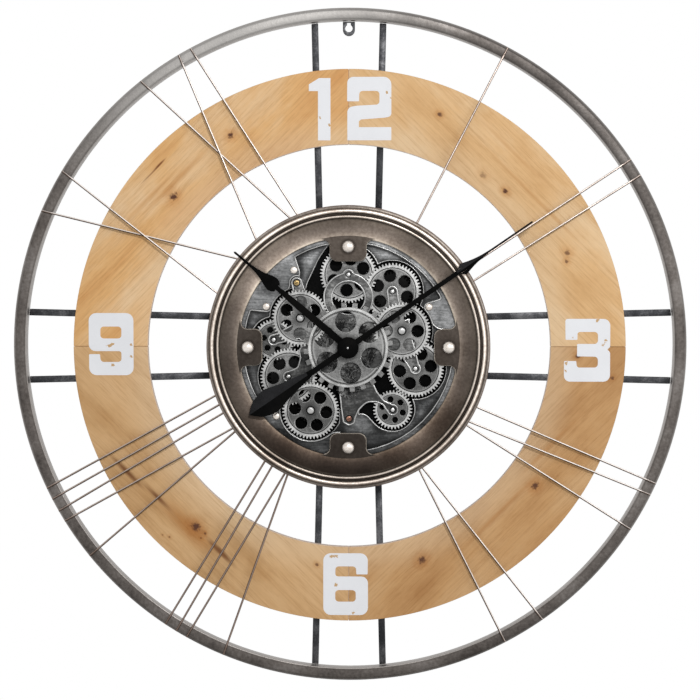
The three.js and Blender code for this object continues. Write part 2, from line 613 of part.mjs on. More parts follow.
// Bezel: a spun ring with two beads, dished down to a window with four tabs, each with a domed rivet
function bezel() {
  const beads = [...bead(OUTER_BEAD_RADIUS), ...bead(INNER_BEAD_RADIUS)];
  const ring = turned([
    [BEZEL_RADIUS, BEZEL_BACK],
    [BEZEL_RADIUS, BEZEL_SHOULDER - 3],
    [BEZEL_RADIUS - 2.5, BEZEL_SHOULDER],
    ...beads,
    [WINDOW_RADIUS, WINDOW_EDGE_FRONT],
    [WINDOW_RADIUS, WINDOW_EDGE_FRONT - BEZEL_SHEET],
    [INNER_BEAD_RADIUS, BEZEL_SHOULDER - BEZEL_SHEET],
    [BEZEL_RADIUS - BEZEL_SHEET - 1, BEZEL_SHOULDER - BEZEL_SHEET - 1],
    [BEZEL_RADIUS - BEZEL_SHEET, BEZEL_BACK],
  ], DISC_SEGMENTS);
  const half = BEZEL_TAB_WIDTH / 2;
  const root = WINDOW_RADIUS - 1;
  const rootHalf = half + BEZEL_TAB_FLARE;
  const outer = WINDOW_RADIUS + 3;
  const tab = rounded([
    [-half, BEZEL_TAB_REACH, BEZEL_TAB_CORNER],
    [half, BEZEL_TAB_REACH, BEZEL_TAB_CORNER],
    [half, Math.sqrt(root ** 2 - half ** 2), BEZEL_TAB_FLARE],
    [rootHalf, Math.sqrt(root ** 2 - rootHalf ** 2)],
    [rootHalf, Math.sqrt(outer ** 2 - rootHalf ** 2)],
    [-rootHalf, Math.sqrt(outer ** 2 - rootHalf ** 2)],
    [-rootHalf, Math.sqrt(root ** 2 - rootHalf ** 2)],
    [-half, Math.sqrt(root ** 2 - half ** 2), BEZEL_TAB_FLARE],
  ]);
  const dome = arcPoints([0, 0], 1, 0, Math.PI / 2, 3)
    .map(([x, y]) => new THREE.Vector2(x * RIVET_RADIUS, y * RIVET_HEIGHT));
  const rivet = new THREE.LatheGeometry([
    new THREE.Vector2(0, -1),
    new THREE.Vector2(RIVET_RADIUS, -1),
    ...dome,
  ], 14).rotateX(Math.PI / 2).translate(0, RIVET_CIRCLE, WINDOW_EDGE_FRONT);
  const tabPlate = prism(tab, WINDOW_EDGE_FRONT - BEZEL_SHEET, BEZEL_SHEET);
  const tabs = [0, 1, 2, 3].flatMap((quarter) =>
    [tabPlate, rivet].map((piece) => piece.clone().rotateZ((quarter * Math.PI) / 2)));
  return join(ring, ...tabs);
}

const pitchRadius = (teeth) => (MODULE * teeth) / 2;
const tipRadius = (teeth) => pitchRadius(teeth) + TOOTH_ADDENDUM;

// Outline of a wheel with blunt teeth, its first tooth centred on the x axis
function toothed(teeth, tip, root, tipShare, rootShare) {
  const pitch = (2 * Math.PI) / teeth;
  const outline = [];
  for (let i = 0; i < teeth; i += 1) {
    const middle = i * pitch;
    outline.push(polar(root, middle - (rootShare * pitch) / 2));
    outline.push(polar(tip, middle - (tipShare * pitch) / 2));
    outline.push(polar(tip, middle + (tipShare * pitch) / 2));
    outline.push(polar(root, middle + (rootShare * pitch) / 2));
  }
  return outline;
}

// Outline of a wheel or pinion of the train, whose fine teeth part in a V
function gearOutline(teeth) {
  const pitch = (2 * Math.PI) / teeth;
  const outline = [];
  for (let i = 0; i < teeth; i += 1) {
    outline.push(polar(tipRadius(teeth), (i - TOOTH_TIP_SHARE / 2) * pitch));
    outline.push(polar(tipRadius(teeth), (i + TOOTH_TIP_SHARE / 2) * pitch));
    outline.push(polar(pitchRadius(teeth) - TOOTH_DEDENDUM, (i + 0.5) * pitch));
  }
  return outline;
}

function holeRing(count, radius, circleRadius, turn, steps) {
  const holes = [];
  for (let i = 0; i < count; i += 1) {
    holes.push(circle(polar(circleRadius, radians(turn) + (i * 2 * Math.PI) / count), radius, steps));
  }
  return holes;
}

// Each gear's place and the angle of its first tooth, worked out from the gear it meshes with
const placed = { centre_gear: { teeth: WHEEL_TEETH, place: [0, 0], phase: 0 } };
for (const [name, gear] of Object.entries(TRAIN)) {
  const driver = placed[gear.on];
  const [driverTeeth, ownTeeth] = [
    gear.with[0] === "wheel" ? driver.teeth : driver.pinion,
    gear.with[1] === "wheel" ? gear.teeth : gear.pinion,
  ];
  const bearing = radians(gear.bearing);
  const reach = pitchRadius(driverTeeth) + pitchRadius(ownTeeth);
  const driverPitch = (2 * Math.PI) / driverTeeth;
  const ownPitch = (2 * Math.PI) / ownTeeth;
  const driverShare = (bearing - driver.phase) / driverPitch;
  const phase = bearing + Math.PI - (0.5 - driverShare) * ownPitch;
  placed[name] = { ...gear, place: polar(reach, bearing, driver.place), phase };
}

// A gear: wheel, rear pinion if it has one, and the arbor that carries both
function gearBody(gear) {
  const big = gear.teeth === WHEEL_TEETH;
  const front = gear.layer === "front";
  const wheelBack = LAYER_BACK[gear.layer];
  const turn = gear.holeTurn - THREE.MathUtils.radToDeg(gear.phase);
  const holes = big
    ? holeRing(WHEEL_HOLES, WHEEL_HOLE_RADIUS, WHEEL_HOLE_CIRCLE, turn, 9)
    : holeRing(SMALL_WHEEL_HOLES, SMALL_WHEEL_HOLE_RADIUS, SMALL_WHEEL_HOLE_CIRCLE, turn, 7);
  const wheel = prism(gearOutline(gear.teeth), wheelBack, GEAR_THICKNESS, holes);
  const arborBack = BASE_PLATE_FRONT + FACE_GAP;
  const arborFront = front ? wheelBack + GEAR_THICKNESS : BRIDGE_BACK + BRIDGE_THICKNESS + FACE_GAP;
  const parts = [
    wheel,
    disc([0, 0], ARBOR_RADIUS, arborBack, arborFront - arborBack, 8),
    disc([0, 0], PIVOT_RADIUS, BASE_PLATE_BACK, arborBack - BASE_PLATE_BACK + 1, 6),
  ];
  if (gear.pinion) parts.push(prism(gearOutline(gear.pinion), LAYER_BACK[gear.pinionLayer], GEAR_THICKNESS));
  const headHeight = GEAR_THICKNESS - 1 + ARBOR_HEAD_HEIGHT;
  if (front) parts.push(disc([0, 0], ARBOR_HEAD_RADIUS, wheelBack + 1, headHeight, 10));
  return join(...parts);
}

// The motor's pinion: its shaft runs back through the base plate into the motor
function drivePinion(gear) {
  const back = LAYER_BACK[gear.layer];
  const shaftBack = MOVEMENT_FRONT - SHAFT_SEAT_DEPTH;
  return join(
    prism(gearOutline(gear.teeth), back, DRIVE_PINION_THICKNESS),
    disc([0, 0], ARBOR_RADIUS, shaftBack, back + 1 - shaftBack, 12),
  );
}

function centreGear() {
  const bore = circle([0, 0], FACE_GEAR_BORE_RADIUS, 12);
  const outline = toothed(FACE_GEAR_TEETH, FACE_GEAR_TIP_RADIUS, FACE_GEAR_ROOT_RADIUS,
    FACE_GEAR_TIP_SHARE, FACE_GEAR_ROOT_SHARE);
  const holes = holeRing(FACE_GEAR_HOLES, FACE_GEAR_HOLE_RADIUS, FACE_GEAR_HOLE_CIRCLE,
    FACE_GEAR_HOLE_TURN, 14);
  const face = prism(outline, FACE_GEAR_BACK, FACE_GEAR_THICKNESS, [bore, ...holes]);
  const wheel = prism(gearOutline(WHEEL_TEETH), FRONT_LAYER, GEAR_THICKNESS, [bore]);
  return join(face, wheel);
}

const gearClearing = (name, back, thickness, steps = 26) => {
  const gear = placed[name];
  return disc(gear.place, tipRadius(gear.teeth) + GEAR_TIP_GAP, back, thickness, steps);
};

// Base plate with a bearing hole for each arbor and clearance for the centre and the motor's shaft
function basePlate() {
  const bearings = Object.entries(placed)
    .filter(([name]) => name !== "centre_gear" && name !== "drive_pinion")
    .map(([, gear]) => circle(gear.place, PIVOT_RADIUS + TURN_GAP, 8));
  const outline = circle([0, 0], DRUM_BORE_RADIUS - FACE_GAP, DISC_SEGMENTS);
  return prism(outline, BASE_PLATE_BACK, BASE_PLATE_THICKNESS, [
    ...bearings,
    circle(placed.drive_pinion.place, ARBOR_RADIUS + 1, 12),
    circle([0, 0], BUSH_RADIUS + FACE_GAP, 16),
  ]);
}

const spacerPlaces = [45, 135, 225, 315].map((angle) => polar(SPACER_CIRCLE, radians(angle)));
const spacer = (place, back, front) => disc(place, SPACER_RADIUS, back, front - back, 10);

// Surround plate: cut round the gears, and held off the base plate on four spacers
function surroundPlate() {
  const outline = circle([0, 0], DRUM_BORE_RADIUS - SURROUND_EDGE_GAP, DISC_SEGMENTS);
  const plate = solid(prism(outline, SURROUND_BACK, SURROUND_THICKNESS));
  const clearings = Object.keys(TRAIN).filter((name) => name !== "drive_pinion")
    .map((name) => gearClearing(name, SURROUND_BACK - 1, SURROUND_THICKNESS + 2));
  const middle = disc([0, 0], SURROUND_OPENING_RADIUS, SURROUND_BACK - 1, SURROUND_THICKNESS + 2, 30);
  const foot = block(COPPER_SCREW_PLACE, ...SURROUND_FOOT, SURROUND_BACK, SURROUND_THICKNESS);
  const spacers = spacerPlaces.map((place) => spacer(place, BASE_PLATE_FRONT + FACE_GAP, SURROUND_BACK + 1));
  const postHoles = POST_PLACES.map((place) =>
    disc(place, SPACER_RADIUS + FACE_GAP, SURROUND_BACK - 1, SURROUND_THICKNESS + 2, 12));
  const notch = prism(rounded(SURROUND_NOTCH), SURROUND_BACK - 1, SURROUND_THICKNESS + 2);
  const opened = cut(plate, ...clearings, middle);
  const whole = [foot, ...spacers].map(solid).reduce((sum, next) => sum.add(next), opened);
  return cut(whole, notch, ...postHoles);
}

// Front plate: a rim inside the bezel's window that widens into plates at 3, 7 and 10 o'clock
function frontPlate() {
  const edge = DRUM_BORE_RADIUS - FRONT_PLATE_EDGE_GAP;
  const alongCircle = (radius, from, to, steps) =>
    arcPoints([0, 0], radius, radians(90 - from), radians(90 - to), steps);
  const around = (name, from, to, steps) => {
    const gear = placed[name];
    return arcPoints(gear.place, tipRadius(gear.teeth) + GEAR_TIP_GAP, radians(from), radians(to), steps);
  };
  // An area between two clock angles, whose inner edge is given and whose outer one is the plate's own
  const area = (from, to, innerEdge) => prism([
    clockPoint(FRONT_PLATE_RIM, from),
    ...innerEdge,
    clockPoint(FRONT_PLATE_RIM, to),
    ...alongCircle(edge, to, from, 4),
  ], FRONT_PLATE_BACK - 1, FRONT_PLATE_THICKNESS + 2);
  const areaAt3 = area(55.5, 81, [
    ...rounded(AREA_AT_3_EDGE, 3).slice(0, 7),
    ...arcPoints(AREA_AT_3_LOBE, PLATE_LOBE_RADIUS, radians(105), radians(205), 5),
    ...around("gear_at_2", 34, 12, 4),
    AREA_AT_3_END,
  ]);
  const areaAt7 = area(184, 235, [AREA_AT_7_START, ...around("gear_at_7", -46, -195, 12)]);
  const areaAt10 = area(278, 329.6, [
    ...rounded(AREA_AT_9_EDGE, 3).slice(1, 5),
    ...arcPoints(AREA_AT_9_LOBE, PLATE_LOBE_RADIUS, radians(255), radians(345), 5),
    ...around("gear_at_10", 155, 112, 6),
    ...arcPoints(GOLD_SCREW_PLACE, BRIDGE_END_RADIUS + 1, radians(200), radians(65), 6),
    AREA_AT_10_END,
  ]);
  const round = (radius, back, thickness) => solid(disc([0, 0], radius, back, thickness, DISC_SEGMENTS));
  const inside = round(FRONT_PLATE_RIM, FRONT_PLATE_BACK - 1, FRONT_PLATE_THICKNESS + 2);
  const window = cut(inside, areaAt3, areaAt7, areaAt10);
  const plate = round(edge, FRONT_PLATE_BACK, FRONT_PLATE_THICKNESS).subtract(window);
  const spacerBack = SURROUND_BACK + SURROUND_THICKNESS + FACE_GAP;
  return spacerPlaces.map((place) => solid(spacer(place, spacerBack, FRONT_PLATE_BACK + 1)))
    .reduce((sum, next) => sum.add(next), plate);
}

// A straight or tapered arm that ends in a round eye
function arm(from, to, [widthAtStart, widthAtEnd]) {
  const angle = Math.atan2(to[1] - from[1], to[0] - from[0]);
  const side = angle + Math.PI / 2;
  return join(
    prism([
      polar(-widthAtStart / 2, side, from),
      polar(-widthAtEnd / 2, side, to),
      polar(widthAtEnd / 2, side, to),
      polar(widthAtStart / 2, side, from),
    ], BRIDGE_BACK, BRIDGE_THICKNESS),
    disc(to, BRIDGE_END_RADIUS, BRIDGE_BACK, BRIDGE_THICKNESS, 12),
  );
}

// Train bridge: one cut plate on two posts, whose arms carry the front ends of the arbors
function trainBridge() {
  const arch = [0, ARCH_CENTRE_HEIGHT];
  const plate = (outline) => prism(outline, BRIDGE_BACK, BRIDGE_THICKNESS);
  const top = placed.gear_at_12.place;
  const { foot, headHalf, headRise } = BRIDGE_TOP_NECK;
  const neck = [[-foot[0], foot[1]], [-headHalf, top[1] + headRise], [headHalf, top[1] + headRise], foot];
  const pieces = [
    disc([0, 0], BRIDGE_CENTRE_RADIUS, BRIDGE_BACK, BRIDGE_THICKNESS, 28),
    disc(arch, ARCH_OUTER_RADIUS, BRIDGE_BACK, BRIDGE_THICKNESS, 28),
    disc(top, BRIDGE_END_RADIUS, BRIDGE_BACK, BRIDGE_THICKNESS, 12),
    ...[neck, BRIDGE_LEFT_WEB, BRIDGE_LOWER_WEB, BRIDGE_RIGHT_LINK, BRIDGE_LEFT_LINK]
      .map((corners) => plate(rounded(corners))),
    ...POST_PLACES.map((place) => spacer(place, BASE_PLATE_FRONT + FACE_GAP, BRIDGE_BACK + 1)),
  ];
  const arms = BRIDGE_ARMS.map(({ from, to, widths }) => arm(from, placed[to]?.place ?? to, widths));
  const body = pieces.map(solid).concat(arms).reduce((sum, next) => sum.add(next));
  const hole = (place, radius, steps) => disc(place, radius, BRIDGE_BACK - 1, BRIDGE_THICKNESS + 2, steps);
  const arbors = Object.entries(placed).filter(([name]) => name !== "centre_gear")
    .map(([, gear]) => hole(gear.place, ARBOR_RADIUS + TURN_GAP, 8));
  return cut(body,
    hole(arch, ARCH_INNER_RADIUS, 20),
    hole([0, 0], BUSH_RADIUS + FACE_GAP, 12),
    ...arbors);
}

// A hand's outline from half widths along its length, mirrored about its own axis, pointing up
function handShape(profile) {
  const right = profile.map(([along, half]) => [half, along]);
  const left = profile.filter(([, half]) => half > 0).reverse().map(([along, half]) => [-half, along]);
  return [...right, ...left];
}

function hourHand() {
  const widths = [HOUR_BAR_WIDTH, HOUR_BAR_END_WIDTH, HOUR_SPADE_WIDTH, HAND_POINT_WIDTH];
  const [bar, barEnd, spade, point] = widths.map((width) => width / 2);
  const blade = prism(handShape([
    [0, bar],
    [HOUR_SPADE_AT - 40, bar],
    [HOUR_SPADE_AT - 8, barEnd],
    [HOUR_SPADE_AT - 5, spade * 0.78],
    [HOUR_SPADE_AT - 2, spade * 0.96],
    [HOUR_SPADE_AT + 1, spade],
    [HOUR_SPADE_AT + 5, spade * 0.9],
    [HOUR_SPADE_AT + 15, spade * 0.54],
    [HOUR_SPADE_AT + 25, spade * 0.31],
    [HOUR_SPADE_AT + 36, point * 1.2],
    [HOUR_HAND_LENGTH - 1.5, point],
    [HOUR_HAND_LENGTH, 0],
  ]), HOUR_HAND_BACK, HAND_THICKNESS);
  const pipeBack = BUSH_FRONT - PIPE_SEAT_DEPTH;
  const pipe = disc([0, 0], HOUR_PIPE_RADIUS, pipeBack, HOUR_HAND_BACK + 1 - pipeBack, 12);
  const bore = disc([0, 0], MINUTE_ARBOR_RADIUS + TURN_GAP, pipeBack - 1, HAND_LAYER - pipeBack, 10);
  return cut(join(blade, pipe, disc([0, 0], HAND_HUB_RADIUS, HOUR_HAND_BACK, HAND_THICKNESS, 16)), bore);
}

function minuteHand() {
  const widths = [MINUTE_BAR_WIDTH, MINUTE_BAR_END_WIDTH, MINUTE_SPADE_WIDTH, MINUTE_TAIL_WIDTH,
    HAND_POINT_WIDTH];
  const [bar, barEnd, spade, tail, point] = widths.map((width) => width / 2);
  const blade = prism(handShape([
    [-MINUTE_TAIL_LENGTH, 0],
    [-MINUTE_TAIL_WIDEST_AT - 19, tail * 0.62],
    [-MINUTE_TAIL_WIDEST_AT - 11, tail * 0.85],
    [-MINUTE_TAIL_WIDEST_AT - 4, tail * 0.98],
    [-MINUTE_TAIL_WIDEST_AT + 1, tail],
    [-MINUTE_TAIL_WIDEST_AT + 8, tail * 0.92],
    [-MINUTE_TAIL_WIDEST_AT + 21, tail * 0.68],
    [-MINUTE_TAIL_WIDEST_AT + 42, tail * 0.42],
    [-48, bar],
    [0, bar],
    [MINUTE_SPADE_AT - 9, barEnd],
    [MINUTE_SPADE_AT - 4, spade * 0.8],
    [MINUTE_SPADE_AT, spade],
    [MINUTE_SPADE_AT + 3, spade * 0.9],
    [MINUTE_SPADE_AT + 11, spade * 0.62],
    [MINUTE_SPADE_AT + 21, spade * 0.41],
    [MINUTE_SPADE_AT + 32, point * 1.2],
    [MINUTE_HAND_LENGTH - 3, point],
    [MINUTE_HAND_LENGTH, 0],
  ]), HAND_LAYER, HAND_THICKNESS);
  const arborBack = MOVEMENT_FRONT - SHAFT_SEAT_DEPTH;
  const arbor = disc([0, 0], MINUTE_ARBOR_RADIUS, arborBack, HAND_LAYER + 1 - arborBack, 10);
  return join(blade, arbor, disc([0, 0], HAND_HUB_RADIUS, HAND_LAYER, HAND_THICKNESS, 16));
}

function hubCap() {
  const arc = arcPoints([0, 0], 1, 0, Math.PI / 2, 3);
  const dome = arc.map(([x, y]) => new THREE.Vector2(x * HUB_CAP_RADIUS, 1 + y * (HUB_CAP_HEIGHT - 1)));
  const profile = [new THREE.Vector2(0, 0), new THREE.Vector2(HUB_CAP_RADIUS, 0), ...dome];
  return new THREE.LatheGeometry(profile, 18)
    .rotateX(Math.PI / 2).translate(0, 0, HAND_LAYER + HAND_THICKNESS + FACE_GAP);
}

const cellDepth = MOVEMENT_BACK + LID_THICKNESS + CELL_GAP + CELL_RADIUS;

// A cell lying along x, with its small contact at the right end
function cell(centre) {
  const seat = 2;
  return join(
    new THREE.CylinderGeometry(CELL_RADIUS, CELL_RADIUS, CELL_LENGTH - 2 * CELL_CONTACT_HEIGHT, 16)
      .rotateZ(Math.PI / 2),
    new THREE.CylinderGeometry(CELL_CONTACT_RADIUS, CELL_CONTACT_RADIUS, CELL_CONTACT_HEIGHT + seat, 10)
      .rotateZ(Math.PI / 2).translate((CELL_LENGTH - CELL_CONTACT_HEIGHT - seat) / 2, 0, 0),
  ).translate([centre[0], centre[1], cellDepth]);
}

// A pocket for a cell, open to the back
function cellPocket(centre) {
  const half = CELL_RADIUS + CELL_GAP;
  const back = MOVEMENT_BACK - 1;
  return block(centre, CELL_LENGTH + 2 * CELL_GAP, 2 * half, back, cellDepth + half - back);
}

const movementCellPlace = [0, CELL_HEIGHT_IN_MOVEMENT];

// Quartz movement: a case with the cell's pocket, the knob's recess and the bush that holds it to the plates
function quartzMovement() {
  const body = join(
    block([0, 0], MOVEMENT_SIDE, MOVEMENT_SIDE, MOVEMENT_BACK, MOVEMENT_FRONT - MOVEMENT_BACK),
    disc([0, 0], BUSH_RADIUS, MOVEMENT_FRONT - 1, BUSH_FRONT + 1 - MOVEMENT_FRONT, 16),
  );
  const shaftBack = MOVEMENT_FRONT - SHAFT_SEAT_DEPTH - 1;
  const recess = KNOB_THICKNESS + 2 * TURN_GAP;
  return cut(body,
    disc([0, 0], HOUR_PIPE_RADIUS + TURN_GAP, shaftBack, BUSH_FRONT + 1 - shaftBack, 14),
    disc(KNOB_PLACE, KNOB_RADIUS + TURN_GAP, MOVEMENT_BACK - 1, recess + 1, 18),
    disc(KNOB_PLACE, KNOB_STEM_RADIUS + TURN_GAP, MOVEMENT_BACK, recess + KNOB_STEM_LENGTH, 10),
    cellPocket(movementCellPlace));
}

function timeSetKnob() {
  return join(
    prism(toothed(KNOB_TEETH, KNOB_RADIUS, KNOB_RADIUS - 0.7, 0.4, 0.7), 0, KNOB_THICKNESS),
    disc([0, 0], KNOB_STEM_RADIUS, KNOB_THICKNESS - 1, KNOB_STEM_LENGTH + 1, 8),
  );
}

// Battery box for the gear motor, open to the back under its sliding lid
function batteryBox() {
  const back = MOVEMENT_BACK + LID_THICKNESS + FACE_GAP;
  const box = block(BATTERY_BOX_CENTRE, BATTERY_BOX_WIDTH, BATTERY_BOX_HEIGHT, back, MOVEMENT_FRONT - back);
  return cut(solid(box), cellPocket(BATTERY_BOX_CENTRE));
}

const lidSize = [BATTERY_BOX_WIDTH - 2 * BOX_WALL, 2 * (CELL_RADIUS + CELL_GAP + LID_OVERLAP)];

// Lid with finger ribs near its left end
function batteryLid() {
  const { width, height, pitch, rise, count, fromEnd } = LID_RIB;
  const [x, y] = BATTERY_BOX_CENTRE;
  const ribs = Array.from({ length: count }, (_, i) =>
    block([x - lidSize[0] / 2 + fromEnd + i * pitch, y], width, height, MOVEMENT_BACK - rise, rise + 0.5));
  return join(block(BATTERY_BOX_CENTRE, ...lidSize, MOVEMENT_BACK, LID_THICKNESS), ...ribs);
}

// Gear motor: gearbox with a round motor can beside it
function gearMotor() {
  const [x, y] = placed.drive_pinion.place;
  const [seat, depth] = [3, MOVEMENT_FRONT - MOVEMENT_BACK];
  const can = new THREE.CylinderGeometry(MOTOR_CAN_RADIUS, MOTOR_CAN_RADIUS, MOTOR_CAN_LENGTH, 20)
    .rotateZ(Math.PI / 2)
    .translate((MOTOR_WIDTH + MOTOR_CAN_LENGTH) / 2 - seat, y - MOTOR_DROP, MOVEMENT_BACK + depth / 2);
  const gearbox = block([x, y - MOTOR_DROP], MOTOR_WIDTH, MOTOR_HEIGHT, MOVEMENT_BACK, depth);
  const bore = disc([x, y], ARBOR_RADIUS + TURN_GAP, MOVEMENT_FRONT - SHAFT_SEAT_DEPTH - FACE_GAP,
    SHAFT_SEAT_DEPTH + FACE_GAP + 1, 12);
  return cut(join(gearbox, can), bore);
}

function powerSwitch() {
  const [width, height, thickness] = SWITCH_FLANGE;
  return join(
    block(SWITCH_PLACE, ...SWITCH_KNOB, SWITCH_KNOB_BACK, MOVEMENT_BACK + thickness - SWITCH_KNOB_BACK),
    block(SWITCH_PLACE, width, height, MOVEMENT_BACK, thickness));
}

// Back cover with openings for the knob, the movement's cell, the battery lid and the switch
function backCover() {
  const window = ([x, y], width, height) => {
    const [halfWidth, halfHeight, corner] = [width / 2, height / 2, 2];
    return rounded([
      [x - halfWidth, y - halfHeight, corner],
      [x + halfWidth, y - halfHeight, corner],
      [x + halfWidth, y + halfHeight, corner],
      [x - halfWidth, y + halfHeight, corner],
    ], 2);
  };
  const margin = 2 * WINDOW_MARGIN;
  return prism(circle([0, 0], DRUM_RADIUS, DISC_SEGMENTS), 0, COVER_THICKNESS, [
    circle(KNOB_PLACE, KNOB_RADIUS + 1.5 * WINDOW_MARGIN, 20),
    window(movementCellPlace, CELL_LENGTH + margin, 2 * CELL_RADIUS + margin),
    window([BATTERY_BOX_CENTRE[0] - LID_TRAVEL / 2, BATTERY_BOX_CENTRE[1]],
      lidSize[0] + LID_TRAVEL + margin, lidSize[1] + margin),
    window(SWITCH_PLACE, ...SWITCH_SLOT),
  ]);
}

// Assembly
add("outer_ring", outerRing(), "pewter");
add("hanging_tab", hangingTab(), "gunmetal");
["12", "3", "6", "9"].forEach((hour, quarter) => {
  const turn = (-quarter * Math.PI) / 2;
  add(`strap_${hour}_right`, strap(1), "gunmetal", [0, 0, 0], turn);
  add(`strap_${hour}_left`, strap(-1), "gunmetal", [0, 0, 0], turn);
});
["12_to_3", "3_to_6", "6_to_9", "9_to_12"].forEach((span, quarter) => {
  add(`dial_quadrant_${span}`, woodQuadrant(), "wood", [0, 0, 0], (-quarter * Math.PI) / 2);
});
SINGLE_RODS.forEach(([name, ...angles]) => add(name, rod(angles), "nickel"));
V_RODS.forEach(([name, first, second]) => add(name, rodPair(first, second), "nickel"));
X_RODS.forEach(([name, first, second]) => add(name, crossedRods(first, second), "nickel"));

add("housing_drum", housingDrum(), "gunmetal");
add("back_cover", backCover(), "gunmetal");
add("bezel", bezel(), "bronze");
add("base_plate", basePlate(), "black");
add("surround_plate", surroundPlate(), "silver");
add("front_plate", frontPlate(), "silver");
add("train_bridge", trainBridge(), "silver");

add("centre_gear", centreGear(), "silver");
Object.entries(placed).forEach(([name, gear]) => {
  if (name === "centre_gear") return;
  const body = name === "drive_pinion" ? drivePinion(gear) : gearBody(gear);
  add(name, body, "silver", [...gear.place, 0], gear.phase);
});

add("hour_hand", hourHand(), "black", [0, 0, 0], -radians(HOUR_HAND_CLOCK_ANGLE));
add("minute_hand", minuteHand(), "black", [0, 0, 0], -radians(MINUTE_HAND_CLOCK_ANGLE));
add("hub_cap", hubCap(), "black");
add("quartz_movement", quartzMovement(), "plastic");
add("time_set_knob", timeSetKnob(), "plastic", [...KNOB_PLACE, MOVEMENT_BACK + TURN_GAP]);
add("movement_cell", cell(movementCellPlace), "cell");
add("gear_motor", gearMotor(), "plastic");
add("battery_box", batteryBox(), "plastic");
add("gear_cell", cell(BATTERY_BOX_CENTRE), "cell");
add("battery_lid", batteryLid(), "plastic");
add("power_switch", powerSwitch(), "plastic");

export default clock;
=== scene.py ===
# %% [markdown]
# # Dressing a gear wall clock
# The CAD model already holds every node of the clock in its right place and says how it moves. This
# notebook loads it as a fixed frame, and gives each node a finer shape, a real finish, or both.
# Lengths are written in millimetres in the dial's own axes: x to the right, y up and z from the wall
# to the viewer. Each finished piece is then turned to stand on the wall, in metres.

# %% Load the frame
import math

import bmesh
import bpy
from mathutils import Matrix, Vector
from mathutils.geometry import interpolate_bezier
from mathutils.kdtree import KDTree


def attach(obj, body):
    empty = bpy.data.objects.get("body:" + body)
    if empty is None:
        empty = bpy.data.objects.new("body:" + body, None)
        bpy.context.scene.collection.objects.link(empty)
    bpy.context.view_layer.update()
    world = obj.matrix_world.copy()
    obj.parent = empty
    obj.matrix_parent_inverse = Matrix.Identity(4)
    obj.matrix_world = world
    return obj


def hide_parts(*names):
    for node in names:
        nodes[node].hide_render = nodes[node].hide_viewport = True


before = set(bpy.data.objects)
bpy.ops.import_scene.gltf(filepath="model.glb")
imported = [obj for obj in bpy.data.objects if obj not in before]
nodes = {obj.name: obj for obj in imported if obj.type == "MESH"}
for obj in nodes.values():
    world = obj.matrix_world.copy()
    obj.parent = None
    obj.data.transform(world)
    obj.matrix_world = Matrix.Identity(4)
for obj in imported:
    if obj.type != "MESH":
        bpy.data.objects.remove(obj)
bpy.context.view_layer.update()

# %% [markdown]
# ## Where the camera stood
# The clock was photographed from a little above and to the right of its centre, from about 2.3 m away
# with a long lens, so the rings are almost circles: 36 mm of sensor behind 99.1 mm of lens.

# %% The camera
def aim(thing, place, target):
    thing.location = place
    thing.rotation_euler = (Vector(target) - Vector(place)).to_track_quat("-Z", "Y").to_euler()
    bpy.context.scene.collection.objects.link(thing)


lens = bpy.data.cameras.new("camera")
lens.lens = 99.1
lens.sensor_width = 36
lens.clip_end = 100
camera = bpy.data.objects.new("camera", lens)
aim(camera, (0.06, -2.3, 0.1), (0.0012, 0, -0.0048))
bpy.context.scene.camera = camera
print("camera at", tuple(round(v, 2) for v in camera.location))

# %% [markdown]
# ## Writing shader sums as Python
# A material is a graph of nodes. Wrapping a node's output in a small class lets an expression such as
# `1 - mask * 0.5` add its own Math nodes. Anything that isn't a sum goes through one method that takes
# the node's type, its settings and the values or links of its sockets.

# %% A value that can be reckoned with
class Field:
    def __init__(self, finish, socket):
        self.finish = finish
        self.socket = socket

    def maths(self, operation, *others):
        values = dict(enumerate((self, *others)))
        return self.finish.node("ShaderNodeMath", {"operation": operation}, values)

    def __add__(self, other):
        return self.maths("ADD", other)

    def __sub__(self, other):
        return self.maths("SUBTRACT", other)

    def __mul__(self, other):
        return self.maths("MULTIPLY", other)

    def __truediv__(self, other):
        return self.maths("DIVIDE", other)

    def __rsub__(self, other):
        return (self * -1) + other

    __radd__ = __add__
    __rmul__ = __mul__

    def over(self, low, high):
        """0 below low, 1 above high, and smooth between them."""
        return self.finish.node("ShaderNodeMapRange", {"interpolation_type": "SMOOTHSTEP"},
                                {"Value": self, "From Min": low, "From Max": high})


print("node outputs can be reckoned with")

